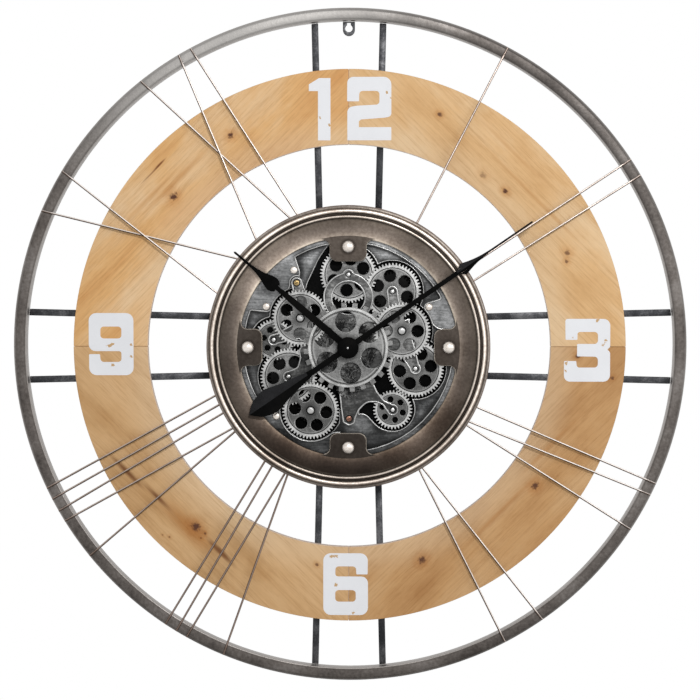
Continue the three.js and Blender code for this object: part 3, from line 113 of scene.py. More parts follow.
# %% A finish: one material and the nodes behind it
class Finish:
    def __init__(self, name, **fixed):
        self.material = bpy.data.materials.new(name)
        self.material.use_nodes = True
        self.nodes = self.material.node_tree.nodes
        self.links = self.material.node_tree.links
        self.shader = self.nodes["Principled BSDF"]
        for socket, value in fixed.items():
            self.shader.inputs[socket.replace("_", " ")].default_value = value

    def put(self, socket, value):
        if isinstance(value, Field):
            self.links.new(value.socket, socket)
        else:
            socket.default_value = value

    def node(self, kind, settings=None, inputs=None, output=0):
        made = self.nodes.new(kind)
        for key, value in (settings or {}).items():
            if key == "stops":
                ramp = made.color_ramp.elements
                while len(ramp) < len(value):
                    ramp.new(0.5)
                for stop, (place, colour) in zip(ramp, value):
                    stop.position, stop.color = place, colour
            else:
                setattr(made, key, value)
        for key, value in (inputs or {}).items():
            self.put(made.inputs[key], value)
        return Field(self, made.outputs[output])

    def set(self, **inputs):
        for socket, value in inputs.items():
            self.put(self.shader.inputs[socket.replace("_", " ")], value)
        return self.material

    def place(self, uv=None):
        """Where on the piece: its own object coordinates in metres, or a UV map of its own."""
        if uv:
            return self.node("ShaderNodeUVMap", {"uv_map": uv})
        return self.node("ShaderNodeTexCoord", output="Object")

    def stretch(self, vector, scale, turn=(0, 0, 0)):
        return self.node("ShaderNodeMapping", None, {"Vector": vector, "Rotation": turn, "Scale": scale})

    def noise(self, vector, scale, detail, rough):
        return self.node("ShaderNodeTexNoise", None,
                         {"Vector": vector, "Scale": scale, "Detail": detail, "Roughness": rough})

    def vector(self, operation, *values, output="Value"):
        return self.node("ShaderNodeVectorMath", {"operation": operation}, dict(enumerate(values)), output)

    def part(self, vector, axis):
        return self.node("ShaderNodeSeparateXYZ", None, {"Vector": vector}, output="XYZ".index(axis))

    def far(self, vector, centre):
        return self.vector("DISTANCE", vector, centre)

    def facing(self, way):
        """1 where the piece's surface faces that way, 0 side on and less behind."""
        return self.vector("DOT_PRODUCT", self.node("ShaderNodeTexCoord", output="Normal"), way)

    def radius(self, vector):
        """Distance from the hands' axis, whatever the depth."""
        return self.vector("LENGTH", self.vector("MULTIPLY", vector, (1, 0, 1), output="Vector"))

    def mix(self, factor, a, b, how="MIX"):
        a, b = (colour if isinstance(colour, Field) else (*colour, 1) for colour in (a, b))
        settings = {"data_type": "RGBA", "blend_type": how}
        return self.node("ShaderNodeMix", settings, {0: factor, 6: a, 7: b}, 2)

    def ramp(self, value, *stops):
        return self.node("ShaderNodeValToRGB", {"stops": [(p, (*c, 1)) for p, c in stops]}, {"Fac": value})

    def bump(self, height, strength, depth):
        return self.node("ShaderNodeBump", None, {"Height": height, "Strength": strength, "Distance": depth})


print("finishes are ready to be mixed")

# %% [markdown]
# ## A white studio
# The photograph has a plain white background. The world shows white to the camera and in the metal's
# reflections, and lights the piece more gently than that. The small key lamp stands above the camera
# and to the right, so each rod drops a narrow shadow at its lower left, and a weak one fills the right.

# %% World, lamps and floor
ROOM_LIGHT, FLOOR_HEIGHT = 0.42, -0.75
world = bpy.data.worlds.new("studio")
bpy.context.scene.world = world
world.use_nodes = True
sky = world.node_tree.nodes["Background"]
rays = world.node_tree.nodes.new("ShaderNodeLightPath")
seen = rays.outputs["Is Camera Ray"]
for name in ("Is Glossy Ray", "Is Transmission Ray"):
    total = world.node_tree.nodes.new("ShaderNodeMath")
    total.operation = "MAXIMUM"
    world.node_tree.links.new(seen, total.inputs[0])
    world.node_tree.links.new(rays.outputs[name], total.inputs[1])
    seen = total.outputs[0]
level = world.node_tree.nodes.new("ShaderNodeMapRange")
level.inputs["To Min"].default_value = ROOM_LIGHT
level.inputs["To Max"].default_value = 1.0
world.node_tree.links.new(seen, level.inputs["Value"])
world.node_tree.links.new(level.outputs[0], sky.inputs["Strength"])
sky.inputs["Color"].default_value = (1, 1, 1, 1)


def lamp(name, place, size, power):
    light = bpy.data.lights.new(name, "AREA")
    light.shape = "DISK"
    light.size = size
    light.energy = power
    aim(bpy.data.objects.new(name, light), place, (0, 0, 0))


lamp("key_lamp", (0.42, -2.35, 0.8), 0.22, 21)
lamp("side_lamp", (1.8, -1.7, 0.5), 1.2, 7)

floor_finish = Finish("floor_white", Roughness=0.9)
spot = floor_finish.far(floor_finish.place(), (0, 0, FLOOR_HEIGHT))
floor_finish.set(Base_Color=(0.86, 0.86, 0.86, 1))
glow = floor_finish.node("ShaderNodeEmission", None, {"Color": (1, 1, 1, 1)})
path = floor_finish.node("ShaderNodeLightPath", output="Is Diffuse Ray")
floor_finish.put(glow.socket.node.inputs["Strength"], 1 - path * (1 - ROOM_LIGHT))
whole = floor_finish.node("ShaderNodeMixShader", None, {0: spot.over(0.6, 1.15)})
floor_finish.links.new(floor_finish.shader.outputs[0], whole.socket.node.inputs[1])
floor_finish.links.new(glow.socket, whole.socket.node.inputs[2])
floor_finish.links.new(whole.socket, floor_finish.nodes["Material Output"].inputs["Surface"])
ground = bmesh.new()
bmesh.ops.create_circle(ground, cap_ends=True, radius=9, segments=64,
                        matrix=Matrix.Translation((0, 0, FLOOR_HEIGHT)))
ground_mesh = bpy.data.meshes.new("floor")
ground.to_mesh(ground_mesh)
ground.free()
ground_mesh.materials.append(floor_finish.material)
ground_object = bpy.data.objects.new("floor", ground_mesh)
bpy.context.scene.collection.objects.link(ground_object)
print("studio lit")

# %% [markdown]
# ## Tools of the bench
# Metal clocks are made of a few kinds of parts: spun rings, plates cut from sheet, bent wire and
# turned pins. Each kind gets one helper. `spun` turns a profile round the axis, `sheet_metal` cuts an
# outline with holes and gives it a thin bright chamfer, `wire` pushes a round section along a path.

# %% Turning, cutting and bending
STAND = Matrix.Rotation(math.radians(90), 4, "X") @ Matrix.Scale(0.001, 4)


def polar(radius, degrees, centre=(0, 0)):
    angle = math.radians(degrees)
    return (centre[0] + radius * math.cos(angle), centre[1] + radius * math.sin(angle))


def arc(radius, start, end, steps, centre=(0, 0)):
    return [polar(radius, start + (end - start) * i / steps, centre) for i in range(steps + 1)]


def ring_of(radius, steps, centre=(0, 0)):
    return arc(radius, 0, 360, steps, centre)[:-1]


def eased(corners, steps=6):
    """An outline whose corners (x, y, radius) are rounded; a corner without a radius stays sharp."""
    outline = []
    for i, corner in enumerate(corners):
        here = Vector(corner[:2])
        if len(corner) < 3:
            outline.append(tuple(here))
            continue
        before, after = Vector(corners[i - 1][:2]), Vector(corners[(i + 1) % len(corners)][:2])
        toward = [(other - here).normalized() for other in (before, after)]
        half = toward[0].angle(toward[1]) / 2
        room = min((before - here).length, (after - here).length) * 0.49
        reach = min(corner[2] / math.tan(half), room)
        ends = [here + t * reach for t in toward]
        handles = [here + t * reach * 0.45 for t in toward]
        controls = (ends[0], handles[0], handles[1], ends[1])
        curve = interpolate_bezier(*[p.to_3d() for p in controls], steps)
        outline += [tuple(p[:2]) for p in curve]
    return outline


def piece(bm, name, body, finishes, replaces=(), crease=35, stand=True):
    """Stands a bmesh on the wall, makes it an object and says which body it rides on."""
    if stand:
        bmesh.ops.transform(bm, matrix=STAND, verts=bm.verts)
    mesh = bpy.data.meshes.new(name)
    bm.to_mesh(mesh)
    bm.free()
    for finish in finishes if isinstance(finishes, (list, tuple)) else [finishes]:
        mesh.materials.append(finish)
    mesh.polygons.foreach_set("use_smooth", [True] * len(mesh.polygons))
    mesh.set_sharp_from_angle(angle=math.radians(crease))
    made = bpy.data.objects.new(name, mesh)
    bpy.context.scene.collection.objects.link(made)
    if replaces:
        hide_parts(*replaces)
    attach(made, body)
    return made


def painted(faces, paint):
    for face in faces:
        face.material_index = paint


def split(bm, place, normal, clear_inner=False):
    """Cuts all of bm along a plane and returns what lies on the cut."""
    everything = bm.verts[:] + bm.edges[:] + bm.faces[:]
    return bmesh.ops.bisect_plane(bm, geom=everything, dist=1e-5, plane_co=place, plane_no=normal,
                                  clear_inner=clear_inner)["geom_cut"]


def ease_edges(bm, least_angle, offset, segments):
    """Bevels every edge that bends by more than an angle, in radians."""
    bm.normal_update()
    sharp = [e for e in bm.edges if len(e.link_faces) == 2 and e.calc_face_angle(0) > least_angle]
    bmesh.ops.bevel(bm, geom=sharp, offset=offset, offset_type="OFFSET", segments=segments, profile=0.5,
                    affect="EDGES", material=-1, clamp_overlap=True)


def spun(profile, steps=180, sweep=360):
    """A closed profile of (radius, z) turned about the axis."""
    bm = bmesh.new()
    verts = [bm.verts.new((r, 0, z)) for r, z in profile]
    edges = [bm.edges.new(pair) for pair in zip(verts, verts[1:] + verts[:1])]
    bmesh.ops.spin(bm, geom=verts + edges, cent=(0, 0, 0), axis=(0, 0, 1), dvec=(0, 0, 0),
                   angle=math.radians(sweep), steps=steps, use_merge=sweep == 360)
    bmesh.ops.remove_doubles(bm, verts=bm.verts, dist=1e-4)
    bmesh.ops.recalc_face_normals(bm, faces=bm.faces)
    return bm


def loop(bm, outline, z):
    verts = [bm.verts.new((x, y, z)) for x, y in outline]
    return [bm.edges.new((verts[i - 1], verts[i])) for i in range(len(verts))]


def sheet_metal(bm, outline, holes, back, front, chamfer, bright=1):
    """Adds a plate with holes to bm; its front edges get a chamfer in the bright finish."""
    edges = loop(bm, outline, back)
    for hole in holes:
        edges += loop(bm, hole, back)
    before = set(bm.faces)
    bmesh.ops.triangle_fill(bm, use_beauty=True, edges=edges, normal=(0, 0, 1))
    base = [f for f in bm.faces if f not in before]
    grown = bmesh.ops.extrude_face_region(bm, geom=base)
    top = [e for e in grown["geom"] if isinstance(e, bmesh.types.BMFace)]
    lifted = [e for e in grown["geom"] if isinstance(e, bmesh.types.BMVert)]
    bmesh.ops.translate(bm, vec=(0, 0, front - back - chamfer), verts=lifted)
    body = [f for f in bm.faces if f not in before]
    bmesh.ops.recalc_face_normals(bm, faces=body)
    rim = bmesh.ops.inset_region(bm, faces=top, use_boundary=True, use_even_offset=True,
                                 thickness=chamfer, depth=chamfer)
    painted(rim["faces"], bright)
    return top


def wire(bm, points, radius, sides=12):
    """Pushes a round section along a path of points and closes both ends."""
    points = [Vector(p) for p in points]
    frames = []
    for i, point in enumerate(points):
        ahead = (points[min(i + 1, len(points) - 1)] - points[max(i - 1, 0)]).normalized()
        frames.append(Matrix.Translation(point) @ ahead.to_track_quat("Z", "Y").to_matrix().to_4x4())
    made = bmesh.ops.create_circle(bm, cap_ends=True, radius=radius, segments=sides, matrix=frames[0])
    verts = made["verts"]
    ring_edges = list({e for v in verts for e in v.link_edges if e.other_vert(v) in verts})
    for old, new in zip(frames, frames[1:]):
        grown = bmesh.ops.extrude_edge_only(bm, edges=ring_edges)["geom"]
        verts = [g for g in grown if isinstance(g, bmesh.types.BMVert)]
        ring_edges = [g for g in grown if isinstance(g, bmesh.types.BMEdge)]
        ring_edges = [e for e in ring_edges if e.verts[0] in verts and e.verts[1] in verts]
        bmesh.ops.transform(bm, matrix=new @ old.inverted(), verts=verts)
    bmesh.ops.holes_fill(bm, edges=ring_edges, sides=sides)
    bmesh.ops.recalc_face_normals(bm, faces=bm.faces)


print("bench set up")

# %% [markdown]
# ## Worn metal
# None of the clock's metal is one colour. Each kind has a dark patina in the hollows and a paler metal
# where hands and cloths have rubbed. Two sizes of noise, a broad cloud and a fine grain, pick a place on
# a ramp from dark to light, and the same clouds make the rubbed places a little smoother.

# %% Metals
def worn_metal(name, dark, middle, light, rough, cloud_size, metallic=0.9, sheen=0.5):
    finish = Finish(name, Metallic=metallic, Specular_IOR_Level=sheen)
    at = finish.place()
    cloud = finish.noise(at, cloud_size, 6, 0.62)
    grain = finish.noise(at, cloud_size * 16, 4, 0.6)
    finish.colour = finish.ramp(cloud * 0.72 + grain * 0.28, (0.36, dark), (0.5, middle), (0.66, light))
    finish.set(Base_Color=finish.colour, Roughness=(1 - cloud) * 0.3 + (rough - 0.15),
               Normal=finish.bump(grain, 0.25, 0.0004))
    return finish


def ring_metal():
    """Pewter with painted light and shade: a painted highlight at the top, painted shade at the upper right,
    lit edges.
    """
    finish = worn_metal("pewter", (0.05, 0.043, 0.039), (0.1, 0.088, 0.08), (0.17, 0.155, 0.145), 0.42, 16)
    at = finish.place()
    from_axis = finish.radius(at)
    flat = finish.stretch(at, (1, 0, 1))
    # painted highlight at the top of the ring, and painted shade at its upper right
    top = 1 - finish.far(flat, (-0.13, 0, 0.375)).over(0.05, 0.3)
    shaded = 1 - finish.far(flat, (0.25, 0, 0.31)).over(0.05, 0.3)
    colour = finish.mix(top * 0.6, finish.colour, (0.42, 0.41, 0.395))
    colour = finish.mix(shaded * 0.5, colour, (0.045, 0.04, 0.037))
    # a painted dark line of shade on the front face, just outside its rounded inner edge
    painted_edge_shade = from_axis.over(0.3856, 0.3862) * (1 - from_axis.over(0.387, 0.3885))
    colour = finish.mix(painted_edge_shade * 0.35, colour, (0.04, 0.036, 0.033))
    # painted light on the inner wall and on the rounded outer edge
    wear_and_painted_light = (1 - from_axis.over(0.3853, 0.386)) * 0.75 + from_axis.over(0.3965, 0.3996) * 0.5
    finish.set(Base_Color=finish.mix(wear_and_painted_light, colour, (0.4, 0.375, 0.355)))
    return finish.material


def rod_metal():
    """Nickelled rod with painted light and shade: pale on the sides facing up and right, dark on the lower
    left sides.
    """
    finish = worn_metal("warm_nickel", (0.8, 0.78, 0.76), (1, 1, 1), (1.15, 1.15, 1.15), 0.34, 30, 0.75)
    at = finish.place()
    # the rods further to the upper right get a little more painted light
    place = (finish.part(at, "X") * 0.6 + finish.part(at, "Z") * 0.8).over(-0.2, 0.28)
    # painted light and shade by facing: sides facing up and right are painted pale, lower left sides dark
    side = finish.facing((0.45, -0.4, 0.8)) + place * 0.1
    tones = finish.ramp(side, (0, (0.028, 0.018, 0.013)), (0.22, (0.12, 0.082, 0.064)),
                        (0.42, (0.33, 0.255, 0.215)), (0.62, (0.58, 0.5, 0.45)), (0.78, (0.95, 0.9, 0.86)))
    weld = finish.radius(at).over(0.384, 0.39)
    colour = finish.mix(1, tones, finish.colour, "MULTIPLY")
    finish.set(Base_Color=finish.mix(weld * 0.6, colour, (0.09, 0.06, 0.045)))
    return finish.material


ring_finish, rod_finish = ring_metal(), rod_metal()
strap_finish = worn_metal("gunmetal", (0.022, 0.023, 0.025), (0.045, 0.046, 0.05), (0.13, 0.13, 0.135),
                          0.45, 40)
case_finish = worn_metal("case_black", (0.018, 0.018, 0.019), (0.032, 0.032, 0.034), (0.07, 0.07, 0.072),
                         0.5, 16)
print("metals mixed")

# %% [markdown]
# ## The outer ring
# The ring is a flat bar rolled into a hoop, with its front edge rounded by hand. One profile turned
# round the axis gives it in a single step, with enough steps that no corner shows against the white.

# %% Outer ring
edge = arc(4.5, 0, 90, 8, (395.5, 11.5))
ring = spun([(385, 0.6), (385.6, 0), (399.4, 0), (400, 0.6), *edge, (386.4, 16), (385.4, 15.6),
             (385, 14.8)], 240)
piece(ring, "ring_hoop", "frame", ring_finish, ["outer_ring"])


def soften(node, body, finish, offset=0.0004):
    """Puts a merged copy of a CAD node, with its sharp edges eased, in the node's place."""
    bm = bmesh.new()
    bm.from_mesh(nodes[node].data)
    bmesh.ops.remove_doubles(bm, verts=bm.verts, dist=1e-6)
    ease_edges(bm, math.radians(40), offset, 2)
    piece(bm, node + "_eased", body, finish, [node], stand=False)


soften("hanging_tab", "frame", strap_finish.material, 0.0003)
for hour in ("12", "3", "6", "9"):
    for side in ("right", "left"):
        soften(f"strap_{hour}_{side}", "frame", strap_finish.material, 0.0007)
print("ring and straps done")

# %% [markdown]
# ## The wooden dial
# The dial is four quadrants of fir veneer, butted at 12, 3, 6 and 9. In each the grain runs across the
# quadrant's middle, so the boards meet at an angle like a picture frame. Grain is noise drawn out along
# one direction: broad bands, lines a few millimetres apart and fibres. Knots and resin streaks are
# ellipses laid along the same direction, and push the grain aside.

# %% Fir with knots
WOOD_HANGS = 3  # how much higher the knots and streaks lie than the ring's own axes say
PALE_WOOD, LIT_EDGE_WOOD, HEART = (0.88, 0.68, 0.45), (0.78, 0.66, 0.6), (0.1, 0.034, 0.014)


def fir(name, turn, pale, middle, dark, knots, streaks, seed):
    finish = Finish(name, Specular_IOR_Level=0.3)
    at = finish.place()
    grain = finish.stretch(at, (1, 1, 1), turn=(0, math.radians(turn), 0))
    lean = Matrix.Rotation(math.radians(turn), 3, "Y")

    def ellipse(x, y, length, width):
        """Distance from a spot on the dial: 1 on an ellipse of that length and width along the grain."""
        centre = lean @ Vector((x, 0, y + WOOD_HANGS))
        scale = (1000 / length, 0, 1000 / width)
        return finish.far(finish.stretch(grain, scale), (centre.x / length, 0, centre.z / width))

    ragged = (finish.noise(at, 330, 3, 0.6) - 0.5) * 2.4
    push, heart, halo = 0, 0, 0
    for x, y, size, strength in knots:
        near = ellipse(x, y, size * 1.2, size)
        push = (1 - near.over(0, 5)) * size * 0.0009 + push
        heart = (1 - (near + ragged).over(0.4, 1.5)) * strength + heart
        halo = (1 - (near + ragged).over(0.6, 4.2)) * strength * 0.4 + halo
    shift = finish.node("ShaderNodeCombineXYZ", None, {"X": seed, "Y": seed * 0.4, "Z": push})
    pushed = finish.vector("ADD", grain, shift, output="Vector")
    band = finish.noise(finish.stretch(pushed, (3, 1, 24)), 1.0, 3, 0.5)
    line = finish.noise(finish.stretch(pushed, (9, 5, 420)), 1.0, 3, 0.6)
    fibre = finish.noise(finish.stretch(pushed, (60, 60, 1000)), 1.0, 3, 0.7)
    patch = finish.noise(finish.stretch(pushed, (11, 5, 20)), 1.0, 4, 0.6)
    colour = finish.ramp(band * 0.5 + patch * 0.5, (0.34, pale), (0.5, middle), (0.64, dark))
    inner = 1 - finish.radius(at).over(0.243, 0.282)
    colour = finish.mix(inner * 0.35, colour, PALE_WOOD)
    drawn = finish.ramp(line * 0.5 + fibre * 0.5, (0.36, (1.08, 1.09, 1.1)), (0.5, (1, 1, 1)),
                        (0.66, (0.78, 0.7, 0.6)))
    colour = finish.mix(0.75, colour, drawn, "MULTIPLY")
    for x, y, length, width, strength in streaks:
        near = ellipse(x, y, length, width) + (patch - 0.5) * 1.1 + (line - 0.5) * 0.7
        stain = (0.3, 0.17, 0.09) if strength > 0.6 else (0.7, 0.5, 0.27)
        share = (1 - near.over(0.15, 1.1)) * (strength if strength > 0.6 else strength * 1.7)
        colour = finish.mix(share, colour, stain, "MULTIPLY")
    colour = finish.mix((halo * 1.6).maths("MINIMUM", 0.95), colour, (0.76, 0.55, 0.32), "MULTIPLY")
    colour = finish.mix(heart.maths("MINIMUM", 1.0), colour, HEART)
    # painted highlight: the dial's sawn inner edge is painted pale, as if lit
    lit_inner_edge = 1 - finish.radius(at).over(0.2392, 0.2398)
    colour = finish.mix(lit_inner_edge * 0.7, colour, LIT_EDGE_WOOD)
    finish.set(Base_Color=colour, Roughness=fibre * 0.2 + 0.5, Normal=finish.bump(fibre, 0.1, 0.0004))
    return finish.material


HONEY = [(0.74, 0.48, 0.25), (0.68, 0.42, 0.2), (0.54, 0.3, 0.12)]
GOLDEN = [(0.84, 0.59, 0.34), (0.77, 0.48, 0.225), (0.66, 0.375, 0.15)]
BLUSH = [(0.85, 0.59, 0.34), (0.79, 0.46, 0.19), (0.68, 0.34, 0.115)]
TOFFEE = [(0.66, 0.41, 0.2), (0.58, 0.325, 0.135), (0.45, 0.225, 0.08)]
WOOD = {  # lean of the grain, tones, knots (x, y, size, strength), streaks (x, y, length, width, strength)
    "12_to_3": (-45, GOLDEN, [(107.5, 271.2, 2.1, 0.9), (184.8, 180.8, 2.3, 1), (158.7, 199.9, 3, 0.45),
                              (258.5, 108.3, 2.6, 0.75), (257.3, 97.6, 1.8, 0.75)],
                [(215, 178, 90, 3, 0.25), (196, 225, 60, 2.5, 0.2)], 0.37),
    "3_to_6": (45, TOFFEE, [(221.7, -168.7, 3.4, 0.95), (87.3, -257.9, 3.6, 0.95), (271.6, -14.1, 2.3, 1),
                            (312, -40.3, 1.8, 0.8)],
               [(180, -200, 70, 4, 0.3), (240, -120, 60, 4, 0.3)], 1.91),
    "6_to_9": (-45, HONEY, [(-182.6, -218.7, 4.2, 1), (-38, -263.8, 1.6, 0.8), (-171.8, -227, 1.3, 0.8),
                            (-176.6, -232.5, 1, 0.7), (-214.2, -231.2, 1.2, 0.6), (-222.4, -229, 1, 0.5)],
               [(-263, -155, 34, 4.2, 0.9), (-228, -184, 32, 4.6, 0.9), (-192, -219, 62, 16, 0.5),
                (-152, -250, 28, 4.2, 0.9)], 2.63),
    "9_to_12": (45, BLUSH, [(-139.8, 247.4, 2.8, 1), (-207.5, 174.9, 3.6, 1)],
                [(-224.2, 212.9, 13, 2, 1), (-232, 204, 22, 1.4, 0.7), (-205, 193, 62, 5, 0.35),
                 (-232, 178, 55, 4, 0.3)], 4.17),
}
print("fir for", len(WOOD), "quadrants")

# %% Quadrants
WOOD_INNER, WOOD_OUTER, WOOD_BACK, WOOD_FRONT, JOINT = 239, 328, 5.5, 14.5, 0.15
for order, (span, (lean, tones, knots, streaks, seed)) in enumerate(WOOD.items()):
    profile = [(WOOD_INNER, WOOD_BACK), (WOOD_OUTER, WOOD_BACK), (WOOD_OUTER, WOOD_FRONT),
               (WOOD_INNER, WOOD_FRONT)]
    board = spun(profile, 60, 90)
    for normal in ((0, 1, 0), (1, 0, 0)):
        cut = split(board, tuple(JOINT * n for n in normal), normal, True)
        ends = [e for e in cut if isinstance(e, bmesh.types.BMEdge)]
        bmesh.ops.holes_fill(board, edges=ends, sides=8)
    bmesh.ops.rotate(board, verts=board.verts, matrix=Matrix.Rotation(math.radians(-90 * order), 3, "Z"))
    ease_edges(board, 1, 0.7, 3)
    bmesh.ops.recalc_face_normals(board, faces=board.faces)
    piece(board, f"wood_{span}", "frame", fir(f"fir_{span}", lean, *tones, knots, streaks, seed),
          [f"dial_quadrant_{span}"])
print("four quadrants laid")

# %% [markdown]
# ## Painted numerals
# The numerals are stencilled in white paint, square and heavy, with rounded corners, and the paint has
# flaked along its edges. Each is one outline a quarter of a millimetre proud of the wood. Flakes are
# noise that is stronger near a few rubbed spots, and show the wood's colour.

# %% White paint
def flaking_paint(rubs):
    finish = Finish("white_paint", Roughness=0.55)
    at = finish.place()
    flake = finish.noise(finish.stretch(at, (1, 1, 1)), 210, 6, 0.7)
    dust = finish.noise(at, 30, 4, 0.6)
    wear_and_painted_light = 0
    for x, y, size in rubs:
        away = finish.far(finish.stretch(at, (1, 0, 1)), (x / 1000, 0, y / 1000))
        wear_and_painted_light = (1 - away.over(0, size / 1000)) * 0.3 + wear_and_painted_light
    bare = (flake + wear_and_painted_light).over(0.7, 0.74)
    white = finish.mix(dust, (0.84, 0.85, 0.88), (0.94, 0.95, 0.98))
    finish.set(Base_Color=finish.mix(bare, white, (0.6, 0.38, 0.18)))
    return finish.material


RUBS = [(-34.5, 271, 4), (-23.5, 261.5, 4), (45, 300, 4), (50, 294, 4), (265, 11, 4), (305, 7, 5),
        (301, 2, 4), (295, 31, 5), (257, -19, 5), (257, -28, 4), (-21, -251, 5), (-15, -251, 5),
        (-15, -285, 4), (5, -319, 4), (-286, 1, 5), (-282, 2, 5), (-281, -23, 5), (-259, 1.5, 4),
        (-259, -12, 4)]
paint = flaking_paint(RUBS)
print("paint flakes at", len(RUBS), "spots")

# %% Numeral outlines
NUMERALS = {
    "numeral_1": [(-35, 317.2), (-21.5, 317.2), (-21.5, 243.9), (-36.3, 243.9), (-36.3, 301.9),
                  (-47.1, 301.9), (-47.1, 309.8)],
    "numeral_2": [(-1.6, 318.5, 7), (50.4, 318.5, 9), (50.4, 272, 8), (43, 270.6, 6), (14.3, 268.4, 3),
                  (12, 266, 1), (12, 259.4), (50.4, 259.4), (50.4, 243.9), (-1.6, 243.9), (-1.6, 282.5, 9),
                  (9, 284.6, 5), (36.3, 286, 4), (36.3, 302, 4), (12.6, 302, 4), (12.2, 289.8, 1),
                  (-1.9, 289.8, 1)],
    "numeral_3": [(256.4, 33.1, 3), (309.6, 33.1, 8), (309.6, -1, 5), (305.5, -3, 2), (309.6, -6, 5),
                  (309.6, -41.4, 8), (255.1, -41.4, 7), (255.1, -16.9, 1), (269.6, -16.9, 1),
                  (270.4, -24.6, 3), (295.1, -24.6, 4), (295.1, -11.8, 4), (270.5, -11.4, 1),
                  (270.5, 3.4, 1), (295.1, 3.4, 4), (295.1, 17.6, 4), (270.9, 17.6, 3), (270.9, 8.2, 1),
                  (256.8, 8.2, 1)],
    "numeral_6": [(-30.4, -246.9, 9), (23, -246.9, 9), (22.6, -272.3, 1), (9.1, -272.3, 1),
                  (8.7, -262.7, 4), (-15.9, -262.7, 4), (-15.9, -274.8, 3), (23, -274.8, 8),
                  (23, -321.2, 9), (-30.4, -321.2, 9)],
    "numeral_9": [(-309.8, 39.6, 9), (-256.3, 39.6, 9), (-256.3, -34.5, 9), (-309.5, -34.5, 9),
                  (-309.5, -9.4, 1), (-296.5, -9.4, 1), (-295.6, -18.7, 4), (-270.8, -18.7, 4),
                  (-270.8, -5.8, 3), (-309.8, -5.8, 8)],
}
COUNTERS = {"numeral_6": [(-16.1, -291.2, 4), (8.4, -291.2, 4), (8.4, -305.1, 4), (-16.1, -305.1, 4)],
            "numeral_9": [(-295.9, 23.5, 4), (-270.8, 23.5, 4), (-270.8, 9.3, 4), (-295.9, 9.3, 4)]}
for name, outline in NUMERALS.items():
    bm = bmesh.new()
    holes = [eased(COUNTERS[name])] if name in COUNTERS else []
    sheet_metal(bm, eased(outline), holes, WOOD_FRONT + 0.02, WOOD_FRONT + 0.3, 0.08, bright=0)
    piece(bm, name, "frame", paint)
print("numerals painted:", ", ".join(NUMERALS))

# %% [markdown]
# ## Rods for the other hours
# The other hours are Roman marks bent from round rod. Each rod is welded to the ring's front, slopes
# forward and ends behind the bezel's rim. In a crossed pair the second rod bows over the first.

# %% Rods
SEAT, RISE, ROD_RADIUS = 17.55, 10, 1.25
RING_EDGE, ROD_START, RIM_OUTSIDE, RIM_END = 400, 398.5, 169, 160.3


def clock(radius, angle):
    return Vector(polar(radius, 90 - angle))


def rod_ends(outer_angle, inner_angle):
    outer, inner = clock(RING_EDGE, outer_angle), clock(RIM_OUTSIDE, inner_angle)
    way = (inner - outer).normalized()

    def reach(radius):
        along = inner.dot(way)
        return inner + way * (-along - math.sqrt(along ** 2 - inner.length_squared + radius ** 2))

    return reach(ROD_START), reach(RIM_END)


def rod_path(angles, lift=None):
    outer, inner = rod_ends(*angles)
    start, end = outer.to_3d() + Vector((0, 0, SEAT)), inner.to_3d() + Vector((0, 0, SEAT + RISE))
    if lift is None:
        return [start, end]
    share, extra = lift
    path = []
    for i in range(13):
        t = i / 12
        hump = t / share if t < share else (1 - t) / (1 - share)
        path.append(start.lerp(end, t) + Vector((0, 0, extra * (1 - (1 - hump) ** 2))))
    return path


SINGLE_RODS = {"rod_1_stroke": (28.0, 28.9), "rod_2_left": (56.4, 56.1), "rod_2_right": (59.5, 62.0),
               "rod_4_first_stroke": (114.0, 115.0), "rod_7_third_stroke": (211.2, 212.6),
               "rod_7_fourth_stroke": (213.4, 216.1), "rod_8_third_stroke": (240.4, 242.1),
               "rod_8_fourth_stroke": (242.7, 245.8), "rod_8_fifth_stroke": (244.8, 249.8),
               "rod_11_last_stroke": (332.05, 338.8)}
V_RODS = {"rods_4_v": ((116.1, 121.6), (122.9, 123.4)), "rods_5_v": ((144.6, 148.4), (152.1, 150.0)),
          "rods_7_v": ((202.1, 205.4), (209.15, 206.7)), "rods_8_v": ((231.0, 233.2), (238.4, 234.9))}
X_RODS = {"rods_10_x": ((293.8, 308.3), (301.5, 292.5)), "rods_11_x": ((321.9, 335.4), (329.8, 319.6))}


def bead(bm, place, radius):
    bmesh.ops.create_uvsphere(bm, u_segments=14, v_segments=10, radius=radius,
                              matrix=Matrix.Translation(place))


for name, angles in SINGLE_RODS.items():
    bm = bmesh.new()
    wire(bm, rod_path(angles), ROD_RADIUS)
    piece(bm, name + "_wire", "frame", rod_finish, [name])
for name, pair in V_RODS.items():
    bm = bmesh.new()
    paths = [rod_path(angles) for angles in pair]
    for points in paths:
        wire(bm, points, ROD_RADIUS)
    meet = (paths[0][-1] + paths[1][-1]) / 2
    bead(bm, meet * ((meet.xy.length + 2.6) / meet.xy.length), 2.4)
    piece(bm, name + "_wires", "frame", rod_finish, [name])
for name, pair in X_RODS.items():
    bm = bmesh.new()
    under, over = rod_ends(*pair[0]), rod_ends(*pair[1])
    from_over, from_under = over[1] - over[0], under[1] - under[0]
    normal = Vector((-from_under.y, from_under.x))
    share = (under[0] - over[0]).dot(normal) / from_over.dot(normal)
    met = over[0] + from_over * share
    low = (met - under[0]).length / from_under.length
    wire(bm, rod_path(pair[0]), ROD_RADIUS)
    wire(bm, rod_path(pair[1], (share, (low - share) * RISE + 2.1)), ROD_RADIUS)
    piece(bm, name + "_wires", "frame", rod_finish, [name])
print("rods bent:", len(SINGLE_RODS) + len(V_RODS) + len(X_RODS))

# %% [markdown]
# ## The case
# The drum is a rolled steel tube with a turned seat at its back for the plates. The pressed cover closes
# it. Both are painted black and hardly seen, but they hold everything.

